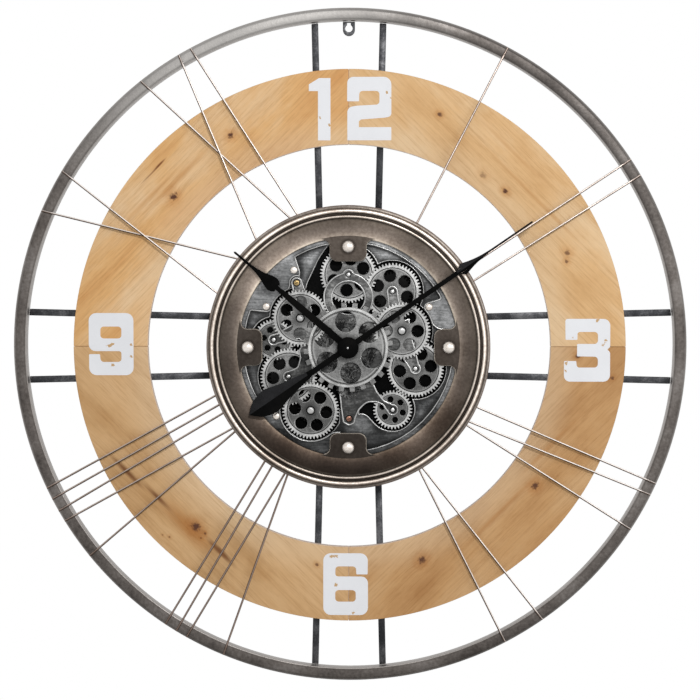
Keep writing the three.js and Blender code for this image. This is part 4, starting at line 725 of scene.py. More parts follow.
# %% Drum and cover
drum = spun([(154.5, 2.6), (154.8, 2.3), (159.6, 2.3), (160, 2.7), (160, 37.5), (159.6, 37.9), (158.8, 37.9),
             (158.5, 37.6), (158.5, 19.7), (154.5, 19.7)])
piece(drum, "drum_shell", "frame", case_finish.material, ["housing_drum"])
soften("back_cover", "frame", case_finish.material)
print("case closed")

# %% [markdown]
# ## The bezel
# The bezel is one pressing: a rolled rim, two beads, a slope down to the window and four tabs that carry
# rivets. Its light and shade are painted into its colour by radius: painted highlights on the crests and
# along the window's edge, painted shade in the grooves. A ramp over the radius holds these painted tones.

# %% Bezel colours
# radius in mm and colour: painted highlights and painted shade across the bezel's section
BEZEL_LIGHT_AND_SHADE = [(128.8, (0.4, 0.355, 0.3)), (129.8, (0.42, 0.37, 0.315)), (132, (0.26, 0.22, 0.19)),
                 (136, (0.165, 0.138, 0.12)), (142, (0.11, 0.092, 0.08)), (149, (0.09, 0.075, 0.063)),
                 (151.2, (0.04, 0.033, 0.027)),
                 (152.4, (0.16, 0.14, 0.12)), (153.6, (0.6, 0.54, 0.49)), (154.8, (0.13, 0.11, 0.095)),
                 (156, (0.028, 0.022, 0.018)), (157.4, (0.04, 0.033, 0.028)), (158.8, (0.4, 0.35, 0.31)),
                 (160.2, (0.95, 0.88, 0.82)), (161.6, (0.4, 0.34, 0.3)), (163.4, (0.05, 0.042, 0.036)),
                 (164.6, (0.15, 0.13, 0.115)), (165.6, (0.3, 0.275, 0.255)), (166.3, (0.16, 0.115, 0.095)),
                 (167, (0.34, 0.26, 0.22))]
FLAT_TONE = (0.055, 0.046, 0.04)
# patches of painted highlight (factor above 1) and painted shade (below 1): x, z, reach in metres, factor
LIT_AND_SHADED_SPOTS = [(-0.1, 0.1, 0.09, 1.6), (-0.141, -0.005, 0.09, 0.6), (0, -0.142, 0.08, 0.65),
              (0.1, -0.105, 0.09, 1.9), (0.04, 0.14, 0.05, 1.3)]
RIVET_CIRCLE = 118.2


def bezel_metal(name, with_painted_beads):
    finish = Finish(name, Metallic=0.9)
    at = finish.place()
    from_axis = finish.radius(at)
    cloud = finish.noise(at, 16, 6, 0.6)
    grain = finish.noise(at, 300, 4, 0.6)
    section, plain = FLAT_TONE, 0.6
    if with_painted_beads:
        # painted highlights on the bead crests and the window's edge, painted shade in the grooves
        section = finish.ramp((from_axis - 0.128) / 0.04, *[((r - 128) / 40, c) for r, c in BEZEL_LIGHT_AND_SHADE])
        plain = 1 - from_axis.over(0.149, 0.152) * 0.85
    # painted light: the bezel is painted lighter towards the top and darker towards the bottom
    high = (finish.part(at, "Z") + (cloud - 0.5) * 0.14).over(-0.17, 0.15)
    tone = finish.mix(high, (0.16, 0.13, 0.11), (1.2, 1.2, 1.2))
    # painted highlights and painted shade in patches on the bezel
    for spot_x, spot_z, reach, factor in LIT_AND_SHADED_SPOTS:
        near = 1 - finish.far(finish.stretch(at, (1, 0, 1)), (spot_x, 0, spot_z)).over(0.01, reach)
        tone = finish.mix(near, tone, (factor,) * 3, "MULTIPLY")
    colour = finish.mix(plain, section, tone, "MULTIPLY")
    mottle = finish.ramp(cloud * 0.6 + grain * 0.4, (0.37, (0.6, 0.55, 0.5)), (0.62, (1.4, 1.38, 1.34)))
    colour = finish.mix(0.9, colour, mottle, "MULTIPLY")
    x, z = (finish.part(at, axis).maths("ABSOLUTE") for axis in "XZ")
    along, aside = x.maths("MAXIMUM", z) - RIVET_CIRCLE / 1000, x.maths("MINIMUM", z)
    from_rivet = (along * along + aside * aside).maths("SQRT")
    shade = (1 - from_rivet.over(0.0074, 0.0112)) * 0.8
    colour = finish.mix(shade, colour, (0.02, 0.015, 0.012))
    finish.set(Base_Color=colour, Roughness=(1 - cloud) * 0.25 + 0.24,
               Normal=finish.bump(grain, 0.12, 0.0003))
    return finish.material


bezel_finish, tab_finish = bezel_metal("bronzed_steel", True), bezel_metal("bronzed_tab", False)
# the pale tab edges: rubbed metal with a painted highlight on it
edge_finish = worn_metal("rubbed_and_lit_edge", (0.2, 0.17, 0.14), (0.38, 0.335, 0.285), (0.55, 0.5, 0.43), 0.32, 40)
pearl_finish = worn_metal("rivet_nickel", (0.42, 0.37, 0.33), (0.72, 0.66, 0.6), (0.92, 0.88, 0.84), 0.3, 60)
print("bezel section has", len(BEZEL_LIGHT_AND_SHADE), "tones")

# %% Bezel, tabs and rivets
def bead_arc(radius, half, height, steps=8):
    return [(radius + half * x, 41 + height * y) for x, y in arc(1, 0, 180, steps)]


rim = [(165.2, 34), (166.4, 34), (167, 34.6), (167, 38.2), (166.6, 39.6), (165.7, 40.6), (164.5, 41)]
beads = bead_arc(160.3, 3, 3.4) + bead_arc(153.6, 2.4, 2.6)
slope = [(130, 38.62), (129.2, 38.4), (128.8, 38.0), (128.8, 36.6), (153.6, 39.2), (164.2, 38.2)]
piece(spun(rim + beads + slope, 240), "bezel_rim", "frame", bezel_finish, ["bezel"], crease=50)
TAB = eased([(-21.75, 101, 9), (-21.75, 124.8, 9), (-34, 126.4), (-38, 132.3), (38, 132.3), (34, 126.4),
             (21.75, 124.8, 9), (21.75, 101, 9)])
DOME = [(0, 43.4), (2.4, 43.2), (4.5, 42.5), (6.2, 41.4), (7.2, 40), (7.4, 38.9), (7.4, 37.6), (0, 37.6)]


def turned(bm, profile, centre=(0, 0), steps=32, paint=0, closed=False):
    """Adds a turned pin to bm; its profile starts and ends on its own axis, or is closed."""
    before = set(bm.faces)
    verts = [bm.verts.new((centre[0] + r, centre[1], z)) for r, z in profile]
    edges = [bm.edges.new(pair) for pair in zip(verts, verts[1:] + (verts[:1] if closed else []))]
    bmesh.ops.spin(bm, geom=verts + edges, cent=(*centre, 0), axis=(0, 0, 1), dvec=(0, 0, 0), angle=math.tau,
                   steps=steps, use_merge=True)
    made = {v for f in bm.faces if f not in before for v in f.verts}
    bmesh.ops.remove_doubles(bm, verts=list(made), dist=1e-4)
    shell = [f for f in bm.faces if f not in before]
    bmesh.ops.recalc_face_normals(bm, faces=shell)
    painted(shell, paint)


tabs, rivets = bmesh.new(), bmesh.new()
for quarter in range(4):
    turn = Matrix.Rotation(math.radians(90 * quarter), 2)
    sheet_metal(tabs, [turn @ Vector(p) for p in TAB], [], 36.7, 38.75, 0.9)
    turned(rivets, DOME, turn @ Vector((0, RIVET_CIRCLE)), 40)
piece(tabs, "bezel_tabs", "frame", [tab_finish, edge_finish.material])
piece(rivets, "bezel_rivets", "frame", pearl_finish.material, crease=60)
print("bezel pressed and riveted")

# %% [markdown]
# ## The plates
# Three plates and a bridge hold the train: a black base, a silver surround with a scalloped opening, the
# front plate at the window's edge, and the bridge with an arm to each arbor. All were stamped, so their
# edges stand up as a bright line and the field inside is a little lower. The fields carry painted shade
# along their edges and are painted darker towards the bottom and lighter towards the top.

# %% Plate metals
def brushed(name, dark, middle, light, stroke, light_by_height, rough=0.36, cloud_size=20):
    finish = Finish(name, Metallic=0.9)
    at = finish.place()
    cloud = finish.noise(at, cloud_size, 6, 0.62)
    line = finish.noise(finish.stretch(at, stroke, turn=(0, 0.6, 0)), 1.0, 3, 0.6)
    spots = finish.noise(at, 420, 4, 0.65)
    mottle = cloud * 0.55 + line * 0.25 + spots * 0.2
    field = finish.ramp(mottle, (0.38, dark), (0.5, middle), (0.62, light))
    # painted light by height: the metal is painted darker towards the bottom and lighter towards the top
    high = (finish.part(at, "Z") + (cloud - 0.5) * 0.1) / 0.26 + 0.5
    tone = finish.ramp(high, *[(place, (value,) * 3) for place, value in light_by_height])
    colour = finish.mix(1, field, tone, "MULTIPLY")
    # painted shade: the field darkens near its own edges and near the edge of the plate in front of it
    from_edge = finish.node("ShaderNodeAttribute", {"attribute_name": "from_edge"}, output=2)
    corner = 1 - (from_edge + (cloud - 0.5) * 0.7).over(0.12, 1)
    colour = finish.mix(corner * 0.82, colour, (0.008, 0.008, 0.008))
    finish.set(Base_Color=colour, Roughness=(1 - cloud) * 0.3 + (rough - 0.15),
               Normal=finish.bump(line * 0.6 + spots * 0.4, 0.2, 0.0003))
    return finish.material


PLATE_LIGHT_BY_HEIGHT = [(0.08, 0.35), (0.2, 1.2), (0.5, 0.8), (0.64, 1.0), (0.86, 1.1), (0.93, 1.5)]
BRIDGE_LIGHT_BY_HEIGHT = [(0, 0.6), (0.5, 1.2), (1, 2)]
black_finish = worn_metal("plate_black", (0.002, 0.002, 0.002), (0.004, 0.004, 0.004), (0.008, 0.008, 0.008),
                          0.6, 20, 0, sheen=0.02)
plate_finish = brushed("silver_plate", (0.03, 0.031, 0.032), (0.125, 0.127, 0.128), (0.3, 0.302, 0.305),
                       (60, 60, 500), PLATE_LIGHT_BY_HEIGHT)
bridge_finish = brushed("bridge_field", (0.012, 0.012, 0.012), (0.05, 0.05, 0.049), (0.17, 0.17, 0.167),
                        (90, 90, 300), BRIDGE_LIGHT_BY_HEIGHT, 0.4, 34)
bright_finish = worn_metal("bright_edge", (0.2, 0.2, 0.198), (0.38, 0.38, 0.374), (0.58, 0.58, 0.57), 0.3, 60)
print("plate metals brushed")

# %% Stamped edges
def by_place(vert):
    return (vert.co.x, vert.co.y)


def boundaries(bm, front):
    """Loops of points round the flat face at a height, the largest first, each from its leftmost corner."""
    top = {f for f in bm.faces if f.normal.z > 0.99 and abs(f.calc_center_median().z - front) < 0.05}
    left = {e for f in top for e in f.edges if sum(other in top for other in e.link_faces) == 1}
    loops = []
    while left:
        edge = min(left, key=lambda e: sorted(by_place(v) for v in e.verts))
        left.remove(edge)
        start, here = sorted(edge.verts, key=by_place)
        points = [start.co.xy.copy()]
        while here != start:
            points.append(here.co.xy.copy())
            edge = min((e for e in here.link_edges if e in left), key=lambda e: by_place(e.other_vert(here)))
            left.remove(edge)
            here = edge.other_vert(here)
        loops.append(points)
    return sorted(loops, key=lambda points: -abs(area_of(points)))


def area_of(points):
    return sum(points[i - 1].cross(points[i]) for i in range(len(points))) / 2


def flowing(points, sharp=50):
    """An outline with its mild corners cut twice, so that its curves flow; sharp corners stay."""
    points = [p for i, p in enumerate(points) if (p - points[i - 1]).length > 0.12]
    for _ in range(2):
        cut = []
        for i, here in enumerate(points):
            before, after = points[i - 1] - here, points[(i + 1) % len(points)] - here
            bend = 180 - math.degrees(before.angle(after))
            if 1 < bend < sharp:
                cut += [here + side.normalized() * min(side.length * 0.25, 1.6) for side in (before, after)]
            elif bend >= sharp:
                cut.append(here)
        points = cut
    return points


def raised_edge(bm, points, inward, z, half, height=0.32):
    """A half-round bead along an outline, just inside its edge."""
    section = [(-half, -0.3), (-half, 0), (-half * 0.7, height * 0.7), (0, height),
               (half * 0.7, height * 0.7), (half, 0), (half, -0.3)]
    rings = []
    for i, here in enumerate(points):
        sides = [(here - points[i - 1]).normalized(), (points[(i + 1) % len(points)] - here).normalized()]
        across = Vector((-sides[0].y - sides[1].y, sides[0].x + sides[1].x)).normalized() * inward
        stretch = 1 / max(across.dot(Vector((-sides[0].y, sides[0].x)) * inward), 0.6)
        rings.append([bm.verts.new((*(here + across * (half + 0.05 + x) * stretch), z + y))
                      for x, y in section])
    shell = []
    for i, ring in enumerate(rings):
        for k in range(len(section)):
            shell.append(bm.faces.new((rings[i - 1][k], ring[k], ring[k - 1], rings[i - 1][k - 1])))
    bmesh.ops.recalc_face_normals(bm, faces=shell)
    painted(shell, 1)


def rerouted(points, through):
    """The outline with its shorter stretch between the ends of a curve replaced by that curve."""
    first, last = (min(range(len(points)), key=lambda i: (points[i] - Vector(end)).length)
                   for end in (through[0], through[-1]))
    curve = [Vector(p) for p in through]
    if (last - first) % len(points) > len(points) / 2:
        first, last, curve = last, first, curve[::-1]
    rest = (first - last) % len(points)
    return curve + [points[(last + k) % len(points)] for k in range(1, rest)]


def note_edges(bm, outlines, reach, spacing=3, cuts=44):
    """Cuts a sheet into small faces and notes at each corner how far the nearest edge is, 1 at the reach."""
    for axis in ((1, 0, 0), (0, 1, 0)):
        for step in range(-cuts, cuts + 1):
            split(bm, [step * spacing * a for a in axis], axis)
    samples = []
    for points in outlines:
        for i, here in enumerate(points):
            before = points[i - 1]
            count = max(1, round((here - before).length))
            samples += [before.lerp(here, k / count) for k in range(count)]
    tree = KDTree(len(samples))
    for i, point in enumerate(samples):
        tree.insert(point.to_3d(), i)
    tree.balance()
    layer = bm.verts.layers.float.new("from_edge")
    for vert in bm.verts:
        vert[layer] = tree.find((vert.co.x, vert.co.y, 0))[2] / reach


def outlines_of(bm, node, front):
    """Fills bm with a CAD plate in dial millimetres and returns the outlines of its front face."""
    bm.from_mesh(nodes[node].data)
    bmesh.ops.remove_doubles(bm, verts=bm.verts, dist=1e-6)
    bmesh.ops.transform(bm, matrix=STAND.inverted(), verts=bm.verts)
    bm.normal_update()
    return boundaries(bm, front)


def stamped(node, field, back, front, half, reach, curves=(), over=()):
    """A CAD plate with its outline redrawn in flowing curves and a raised bright edge all round it."""
    bm = bmesh.new()
    outlines = outlines_of(bm, node, front)
    sheet = [f for f in bm.faces if all(back - 0.02 < v.co.z < front + 0.02 for v in f.verts)]
    bmesh.ops.delete(bm, geom=sheet, context="FACES")
    for through in curves:
        outlines[1] = rerouted(outlines[1], through)
    redrawn = [flowing(points) for points in outlines]
    sheet_metal(bm, redrawn[0], redrawn[1:], back, front - 0.1, 0.1)
    # the distances noted here, to the plate's own edges and to the outlines in over, place its painted shade
    note_edges(bm, [points for points in redrawn if abs(area_of(points)) > LEAST_OPENING] + list(over), reach)
    for order, points in enumerate(redrawn):
        if abs(area_of(points)) > LEAST_OPENING:
            inward = 1 if (area_of(points) > 0) == (order == 0) else -1
            raised_edge(bm, points, inward, front - 0.1, half)
    piece(bm, node + "_stamped", "frame", [field, bright_finish.material], [node])


LEAST_OPENING = 80  # square millimetres; smaller holes get no raised edge
NOTCH = [(-22.8, 120.8), (-27.5, 114.9), (-34.6, 104.3), (-40.5, 92.4), (-45.5, 81.5), (-49, 74),
         (-50.6, 66.4)]
SWEEP = [(12.7, -79), (16, -78.6), (20, -79.6), (24, -82.6), (28, -87), (32, -91.5), (37.5, -95.6),
         (43, -98)]
print("stamping tools ready")

# %% Plates
soften("base_plate", "frame", black_finish.material, 0.0003)
SURROUND_FACE, FRONT_PLATE_FACE, BRIDGE_FACE = 25, 32.2, 32.4
spare = bmesh.new()
front_rim = outlines_of(spare, "front_plate", FRONT_PLATE_FACE)[1]
spare.free()
stamped("surround_plate", plate_finish, 23, SURROUND_FACE, 0.65, 9, [NOTCH, SWEEP],
        [front_rim])
stamped("front_plate", plate_finish, 30.6, FRONT_PLATE_FACE, 0.7, 3.5)
stamped("train_bridge", bridge_finish, 30.8, BRIDGE_FACE, 0.8, 3)
print("plates stamped")

# %% [markdown]
# ## The train
# Each gear is one blank: a ring of cut teeth, a web turned a little lower, and round holes that lighten
# it. The face of the web was turned, so its fine lines run round the arbor. To follow the gear when it
# spins, they're drawn in a UV map called wheel, whose centre is the arbor and whose edge is the web's.

# %% Gear metals
def turned_metal(name, dark, middle, light, cloud_size=30):
    finish = Finish(name, Metallic=0.9)
    at, flat = finish.place(), finish.place("wheel")
    out = finish.vector("LENGTH", flat)
    cloud = finish.noise(at, cloud_size, 6, 0.62)
    spots = finish.noise(at, 480, 4, 0.65)
    rings = finish.noise(finish.node("ShaderNodeCombineXYZ", None, {"X": out * 60}), 1.0, 3, 0.6)
    mottle = cloud * 0.5 + rings * 0.25 + spots * 0.25
    colour = finish.ramp(mottle, (0.38, dark), (0.5, middle), (0.62, light))
    # a painted dark ring of shade where the web meets the tooth ring, and a painted highlight just inside it
    painted_edge_shade = out.over(0.965, 0.975) * (1 - out.over(1.0, 1.01)) * 0.9
    painted_lip_highlight = out.over(0.915, 0.93) * (1 - out.over(0.955, 0.965)) * 0.5
    shade = 1 - out.over(0.14, 0.5) * 0.75
    colour = finish.mix(painted_lip_highlight, finish.mix(shade * 0.8, colour, tuple(c * 0.6 for c in dark)), light)
    finish.set(Base_Color=finish.mix(painted_edge_shade, colour, (0.015, 0.015, 0.015)),
               Roughness=(1 - cloud) * 0.3 + 0.2, Normal=finish.bump(rings * 0.5 + spots * 0.5, 0.2, 0.0003))
    return finish.material


gear_finish = turned_metal("gear_face", (0.07, 0.07, 0.068), (0.2, 0.2, 0.197), (0.38, 0.38, 0.373))
tooth_finish = worn_metal("gear_edge", (0.22, 0.22, 0.217), (0.42, 0.42, 0.413), (0.66, 0.66, 0.65), 0.3, 60)
# a darker copy of the gear face: painted shade on four of the gears
darkened_gear_finish = turned_metal("shaded_gear_face", (0.045, 0.045, 0.044), (0.125, 0.125, 0.122),
                           (0.26, 0.26, 0.255))
# black for painted shade: walls of holes and teeth, pinions behind wheels, rings round pins, screw slots
shade_black_finish = worn_metal("painted_shade_black", (0.003, 0.003, 0.003), (0.006, 0.006, 0.006),
                           (0.014, 0.014, 0.014), 0.5, 60, 0, sheen=0.03)
pin_finish = worn_metal("pin_steel", (0.3, 0.3, 0.296), (0.46, 0.46, 0.452), (0.64, 0.64, 0.63), 0.3, 80)
shaded_finish = turned_metal("shaded_wheel", (0.002, 0.002, 0.002), (0.012, 0.012, 0.012),
                             (0.22, 0.22, 0.215), 90)
GEAR_PAINTS = [gear_finish, tooth_finish.material, shade_black_finish.material, pin_finish.material, shaded_finish]
DARKENED_GEAR_PAINTS = [darkened_gear_finish, *GEAR_PAINTS[1:]]
EDGE, SHADE_PAINT, PIN, SHADED = range(1, 5)  # where the finishes after the face's own stand in those lists
# these gears get the darker copy of the gear face, as painted shade
DARKENED_GEARS = ("gear_at_4", "gear_at_5", "gear_at_9", "gear_at_7")
print("gear metals mixed")

# %% Where the gears stand
MODULE, ADDENDUM, DEDENDUM, THICK = 1.32, 0.85, 1.9, 3
LAYER = {"rear": 23.2, "middle": 27, "front": 33.2}
TRAIN = {  # teeth, layer, pinion, driver, bearing, sides that mesh, turn of the holes
    "centre_gear": (50, "front", None, None, 0, None, 0),
    "gear_at_2": (50, "front", (22, "middle"), "centre_gear", 17.11, (0, 0), 59),
    "gear_at_10": (50, "front", (26, "rear"), "centre_gear", 148.7, (0, 0), 29),
    "drive_pinion": (20, "front", None, "centre_gear", -90, (0, 0), 0),
    "gear_at_1": (50, "middle", (34, "rear"), "gear_at_2", 103.61, (2, 0), 39),
    "gear_at_4": (50, "middle", None, "gear_at_2", -70.35, (2, 0), 9),
    "gear_at_5": (34, "middle", None, "gear_at_4", -118.75, (0, 0), 43),
    "gear_at_12": (50, "rear", None, "gear_at_1", 158.97, (2, 0), 23),
    "gear_at_9": (36, "rear", None, "gear_at_10", -140.93, (2, 0), 51),
    "gear_at_8": (50, "middle", (35, "rear"), "gear_at_9", -67.98, (0, 2), 6),
    "gear_at_7": (50, "front", (22, "middle"), "gear_at_8", -56.41, (0, 2), 53),
}
PLACES, PHASES = {"centre_gear": Vector((0, 0))}, {"centre_gear": 0.0}
for name, (teeth, layer, pinion, driver, bearing, sides, turn) in TRAIN.items():
    if driver:
        driving = TRAIN[driver][2][0] if sides[0] else TRAIN[driver][0]
        driven = pinion[0] if sides[1] else teeth
        angle = math.radians(bearing)
        PLACES[name] = PLACES[driver] + Vector(polar(MODULE * (driving + driven) / 2, bearing))
        step, own = math.tau / driving, math.tau / driven
        PHASES[name] = angle + math.pi - (0.5 - (angle - PHASES[driver]) / step) * own
print("gears placed:", {name: tuple(round(v, 1) for v in place) for name, place in PLACES.items()})

# %% Cutting the gears
def toothed(teeth, phase, centre, tip=None, root=None, tip_share=0.16, root_share=0.34):
    pitch = MODULE * teeth / 2
    tip, root = tip or pitch + ADDENDUM, root or pitch - DEDENDUM
    step = math.degrees(math.tau / teeth)
    outline = []
    for i in range(teeth):
        here = math.degrees(phase) + i * step
        for radius, share in ((root, -root_share), (tip, -tip_share), (tip, tip_share), (root, root_share)):
            outline.append(polar(radius, here + share * step, centre))
    return outline


def holes_of(count, radius, circle, turn, centre):
    return [ring_of(radius, 32, polar(circle, turn + 360 * i / count, centre)) for i in range(count)]


def wheel(bm, teeth, phase, centre, back, turn):
    """A wheel with a tooth ring, a lower web and six holes."""
    inner = MODULE * teeth / 2 - (4.8 if teeth == 50 else 4.4)
    size, circle = (7.3, 18.6) if teeth == 50 else (3.6, 12.4)
    front = back + THICK
    crown = sheet_metal(bm, toothed(teeth, phase, centre), [ring_of(inner, 64, centre)], back, front, 0.22)
    painted(crown, EDGE)
    web_holes = holes_of(6, size, circle, turn, centre)
    sheet_metal(bm, ring_of(inner + 0.1, 64, centre), web_holes, back + 0.1, front - 0.5, 0.75)
    return inner


def darken_walls(bm):
    """The walls of holes and teeth get the black of painted shade."""
    bm.normal_update()
    painted([f for f in bm.faces if abs(f.normal.z) < 0.3 and f.material_index < SHADE_PAINT], SHADE_PAINT)


def drawn_on(bm, centre, size):
    sheet = bm.loops.layers.uv.new("wheel")
    for face in bm.faces:
        for corner in face.loops:
            corner[sheet].uv = ((corner.vert.co.x - centre[0]) / size, (corner.vert.co.y - centre[1]) / size)


for name, (teeth, layer, pinion, driver, bearing, sides, turn) in TRAIN.items():
    if name in ("centre_gear", "drive_pinion"):
        continue
    bm, centre, phase, back = bmesh.new(), PLACES[name], PHASES[name], LAYER[layer]
    inner = wheel(bm, teeth, phase, centre, back, turn)
    if pinion:
        low = LAYER[pinion[1]]
        small = toothed(pinion[0], phase, centre)
        # the pinion is painted black, as shade behind its wheel
        painted(sheet_metal(bm, small, [], low, low + THICK, 0.25, SHADE_PAINT), SHADE_PAINT)
    if layer == "front":
        head = 37.6
        turned(bm, [(0, head), (2.6, head), (3.6, head - 0.3), (4, head - 0.8), (4, back + 1), (0, back + 1)],
               centre, 32, PIN)
        # a thin black ring of painted shadow round the pin
        turned(bm, [(4.1, back + 2.9), (5.3, back + 2.9), (5.5, back + 2.3), (4.1, back + 2.3)], centre, 32,
               SHADE_PAINT, True)
    else:
        turned(bm, [(0, 32.9), (1.4, 32.85), (2.2, 32.6), (2.5, 32.2), (2.5, back + 1), (0, back + 1)],
               centre, 24, PIN)
        # a thin black ring of painted shadow round the arbor's end
        turned(bm, [(2.6, 32.5), (3.5, 32.5), (3.5, 32.25), (2.6, 32.25)], centre, 32, SHADE_PAINT, True)
    arbor_top = 34 if layer == "front" else 33
    turned(bm, [(0, arbor_top), (2.5, 32), (2.5, 22.5), (1.6, 22.3), (1.6, 20.2), (0, 20)], centre, 24, PIN)
    darken_walls(bm)
    drawn_on(bm, centre, inner)
    paints = DARKENED_GEAR_PAINTS if name in DARKENED_GEARS else GEAR_PAINTS
    piece(bm, name + "_cut", name + "_body", paints, [name])
print("train cut")

# %% The face gear and the motor's pinion
FACE_TEETH, FACE_TURN = 24, 95.7
bm = bmesh.new()
face_outline = toothed(FACE_TEETH, math.radians(FACE_TURN), (0, 0), 52.7, 47, 0.21, 0.26)
sheet_metal(bm, face_outline, [ring_of(43, 96)], 36.2, 39.1, 0.5)
painted(sheet_metal(bm, ring_of(47.2, 120), [ring_of(43.6, 120)], 38.6, 39.8, 0.45), EDGE)
BORE, HUB_AXIS = ring_of(5, 32), (0, 0)
web_holes = holes_of(6, 12.4, 30.3, FACE_TURN, HUB_AXIS)
sheet_metal(bm, ring_of(43.2, 96), web_holes + [BORE], 36.3, 38.8, 0.8)
painted(sheet_metal(bm, toothed(50, 0, HUB_AXIS), [ring_of(27.5, 64)], 33.2, 36.1, 0.22), SHADED)
wheel_holes = holes_of(6, 4.6, 19, 40, HUB_AXIS)
painted(sheet_metal(bm, ring_of(27.6, 64), wheel_holes + [BORE], 33.3, 35.4, 0.5, SHADED), SHADED)
darken_walls(bm)
drawn_on(bm, (0, 0), 43.4)
piece(bm, "face_gear_cut", "centre_gear_body", GEAR_PAINTS, ["centre_gear"])

bm = bmesh.new()
motor_axis = PLACES["drive_pinion"]
painted(sheet_metal(bm, toothed(20, PHASES["drive_pinion"], motor_axis), [], 33.2, 35.8, 0.3), SHADED)
turned(bm, [(0, 34), (2.5, 34), (2.5, 16), (2.2, 15.7), (0, 15.7)], motor_axis, 24, PIN)
drawn_on(bm, motor_axis, 20)
piece(bm, "drive_pinion_cut", "drive_pinion_body", GEAR_PAINTS, ["drive_pinion"])
print("face gear has", FACE_TEETH, "teeth")

# %% [markdown]
# ## Hands
# The hands are sheet steel, stamped to a soft ridge along the middle and painted matt black. Their
# outlines are drawn as smooth curves through a few widths. The cap is screwed over both hubs.

# %% Hands and cap
hand_finish = worn_metal("matt_black", (0.002, 0.002, 0.002), (0.0035, 0.0035, 0.0035),
                         (0.006, 0.0055, 0.005), 0.6, 30, 0, sheen=0.02)
# a lighter black for a painted sheen on one side of the minute hand's ridge
sheen_finish = worn_metal("painted_sheen_black", (0.01, 0.01, 0.0105), (0.018, 0.018, 0.019), (0.026, 0.026, 0.028),
                          0.55, 40, 0, sheen=0.05)
HOUR = [(0, 4.1), (75, 4.1), (106.8, 2.7), (107.8, 4.3), (109, 5.8), (111, 7.3), (113.5, 8.35), (116, 8.7),
        (119, 8.3), (123, 7.1), (130, 4.7), (136, 3.2), (142, 2.3), (151, 1.5), (173, 1.25), (174.5, 0.05)]
MINUTE = [(-140, 0.05), (-130, 9.3), (-122, 12.75), (-115, 14.7), (-110, 15), (-103, 13.8), (-90, 10.2),
          (-69, 6.3), (-48, 3.35), (0, 3.35), (155, 2.6), (156.8, 3), (158.3, 4), (160.3, 5.7), (163.5, 7),
          (167, 6.2), (171, 5.1), (176, 3.9), (181, 2.95), (186, 2.2), (192, 1.6), (200, 1.2), (210, 1.1),
          (259.5, 1.05), (261, 0.05)]
STRAIGHT = {(0, 75), (75, 106.8), (151, 173), (173, 174.5), (-48, 0), (0, 155), (210, 259.5), (259.5, 261),
            (-140, -130)}


def swept(profile, steps=6):
    """Half widths along a hand: smooth between its widest places, straight along its bar."""
    drawn = []
    for i in range(len(profile) - 1):
        a, b = profile[i], profile[i + 1]
        before, after = profile[max(i - 1, 0)], profile[min(i + 2, len(profile) - 1)]
        straight = (a[0], b[0]) in STRAIGHT
        for k in range(1 if straight else steps):
            t = k / steps
            terms = [(2 * p1 + (p2 - p0) * t + (2 * p0 - 5 * p1 + 4 * p2 - p3) * t * t
                      + (3 * p1 - p0 - 3 * p2 + p3) * t ** 3) / 2
                     for p0, p1, p2, p3 in zip(before, a, b, after)]
            drawn.append(a if straight or k == 0 else (terms[0], max(terms[1], 0.05)))
    return drawn + [profile[-1]]


def hand(bm, profile, clock_angle, back, front, wear_and_painted_light, ridge=0.3):
    """A hand laid along +Y, given a ridge, then turned to its place on the dial."""
    half = swept(profile)
    outline = [(w, along) for along, w in half] + [(-w, along) for along, w in reversed(half)]
    sheet_metal(bm, outline, [], back, front - ridge, 0.12, 0)
    cut = split(bm, (0, 0, 0), (1, 0, 0))
    top = front - ridge - 0.01
    for v in [g for g in cut if isinstance(g, bmesh.types.BMVert) and g.co.z > top]:
        v.co.z = front
    for face in bm.faces:
        # painted sheen: faces left of the ridge on the minute hand's tail and tip get the lighter black
        middle = face.calc_center_median()
        if middle.x < 0 and not -56 < middle.y < 150 and wear_and_painted_light:
            face.material_index = 2
    hub = [(0, front), (10.6, front), (11, front - 0.3), (11, back), (0, back)]
    turned(bm, hub, (0, 0), 64)
    bmesh.ops.rotate(bm, verts=bm.verts, matrix=Matrix.Rotation(math.radians(-clock_angle), 3, "Z"))


HOUR_ANGLE, MINUTE_ANGLE = 310.1, 55.6
bm = bmesh.new()
hand(bm, HOUR, HOUR_ANGLE, 48, 49.2, False)
turned(bm, [(2.9, 35), (2.9, 48.2), (1.95, 48.2), (1.95, 35)], (0, 0), 32, 1, True)
piece(bm, "hour_hand_shaped", "hour_hand_body", [hand_finish.material, pin_finish.material],
      ["hour_hand"])
bm = bmesh.new()
hand(bm, MINUTE, MINUTE_ANGLE, 50.8, 52, True)
turned(bm, [(0, 52), (1.6, 52), (1.6, 16), (1.3, 15.7), (0, 15.7)], (0, 0), 24, 1)
piece(bm, "minute_hand_shaped", "minute_hand_body",
      [hand_finish.material, pin_finish.material, sheen_finish.material], ["minute_hand"])
bm = bmesh.new()
turned(bm, [(0, 54.9), (4, 54.85), (8, 54.6), (10.8, 54.1), (12.1, 53.4), (12.6, 52.8), (12.6, 52.3),
            (0, 52.3)], (0, 0), 64)
turned(bm, [(0, 55.3), (0.6, 55.25), (1.1, 55.05), (1.3, 54.7), (0, 54.7)], (0, 0), 24, 1)
piece(bm, "hub_cap_turned", "minute_hand_body", [hand_finish.material, pin_finish.material],
      ["hub_cap"])
print("hands hung")

# %% [markdown]
# ## Rivets and screws on the plates
# Small round rivets join the plates, and two slotted screws, one brass and one copper, hold the bridge.

# %% Small fixings
bm = bmesh.new()
for place in ((-64.1, 90.8), (-96.7, 47.8), (95, 47.3), (-85.2, -81.6)):
    turned(bm, [(0, 34), (2.6, 33.9), (4, 33.4), (4.5, 32.5), (4.5, 31.8), (0, 31.8)], place, 28)
piece(bm, "plate_rivets", "frame", pearl_finish.material, crease=60)


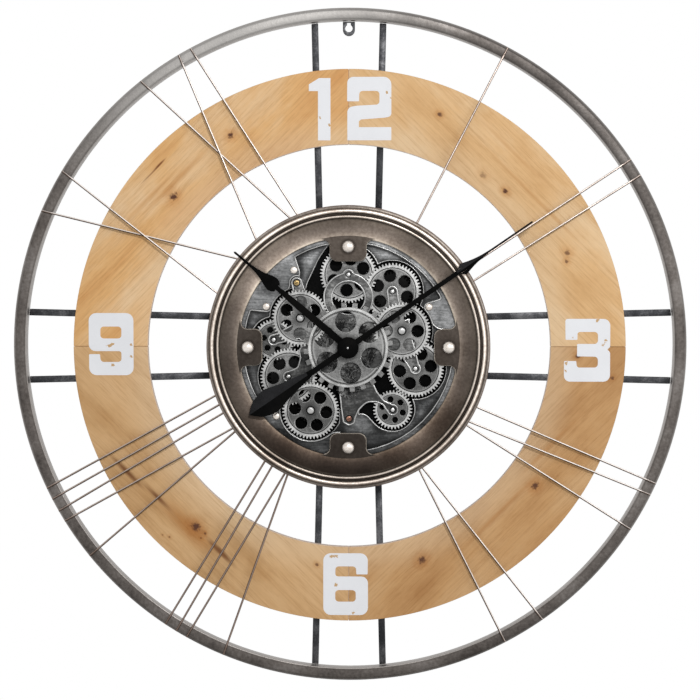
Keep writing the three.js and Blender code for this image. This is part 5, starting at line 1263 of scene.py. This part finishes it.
def slotted_screw(name, place, tones):
    finish = worn_metal(name + "_metal", *tones, 0.32, 80)
    bm = bmesh.new()
    turned(bm, [(0, 34), (2.4, 34), (3, 33.8), (3.3, 33.3), (3.3, 32), (0, 32)], place, 36)
    # a thin black ring of painted shadow round the screw; the slot is painted black as shade
    turned(bm, [(3.5, 32.55), (4.5, 32.55), (4.5, 32.1), (3.5, 32.1)], place, 36, 1, True)
    seat = Matrix.Translation((*place, 34)) @ Matrix.Rotation(0.5, 4, "Z")
    slot = bmesh.ops.create_cube(bm, size=1, matrix=seat @ Matrix.Diagonal((4.6, 0.7, 0.08, 1)))
    painted({f for v in slot["verts"] for f in v.link_faces}, 1)
    piece(bm, name, "frame", [finish.material, shade_black_finish.material])


slotted_screw("brass_screw", (-60.8, 75.7), [(0.2, 0.14, 0.06), (0.42, 0.3, 0.13), (0.62, 0.5, 0.3)])
slotted_screw("copper_screw", (0.9, -84.5), [(0.12, 0.06, 0.045), (0.26, 0.13, 0.09), (0.42, 0.24, 0.18)])
print("rivets and screws in")

# %% [markdown]
# ## Behind the dial
# The movement, the motor, the battery box and their small moving parts are moulded or pressed. They are
# seen only from the back, as eased copies of the CAD nodes in moulded black and in plain cell sleeves.

# %% Back parts
mould_finish = worn_metal("moulded_black", (0.012, 0.012, 0.013), (0.02, 0.02, 0.021),
                          (0.035, 0.035, 0.036), 0.5, 50, 0.0)
sleeve_finish = worn_metal("cell_sleeve", (0.12, 0.13, 0.14), (0.2, 0.21, 0.22), (0.28, 0.29, 0.3), 0.35, 50,
                           0.3)
BACK_PARTS = {"quartz_movement": "frame", "battery_box": "frame", "time_set_knob": "time_set_knob_body",
              "battery_lid": "battery_lid_body", "power_switch": "power_switch_body"}
for name, body in BACK_PARTS.items():
    soften(name, body, mould_finish.material, 0.0003)
soften("gear_motor", "frame", case_finish.material, 0.0003)
for name in ("movement_cell", "gear_cell"):
    soften(name, "frame", sleeve_finish.material, 0.0003)
print("back parts eased")

# %% [markdown]
# ## The view transform
# Colours render as they are written, through the standard view transform.

# %% The view transform
bpy.context.scene.view_settings.view_transform = "Standard"
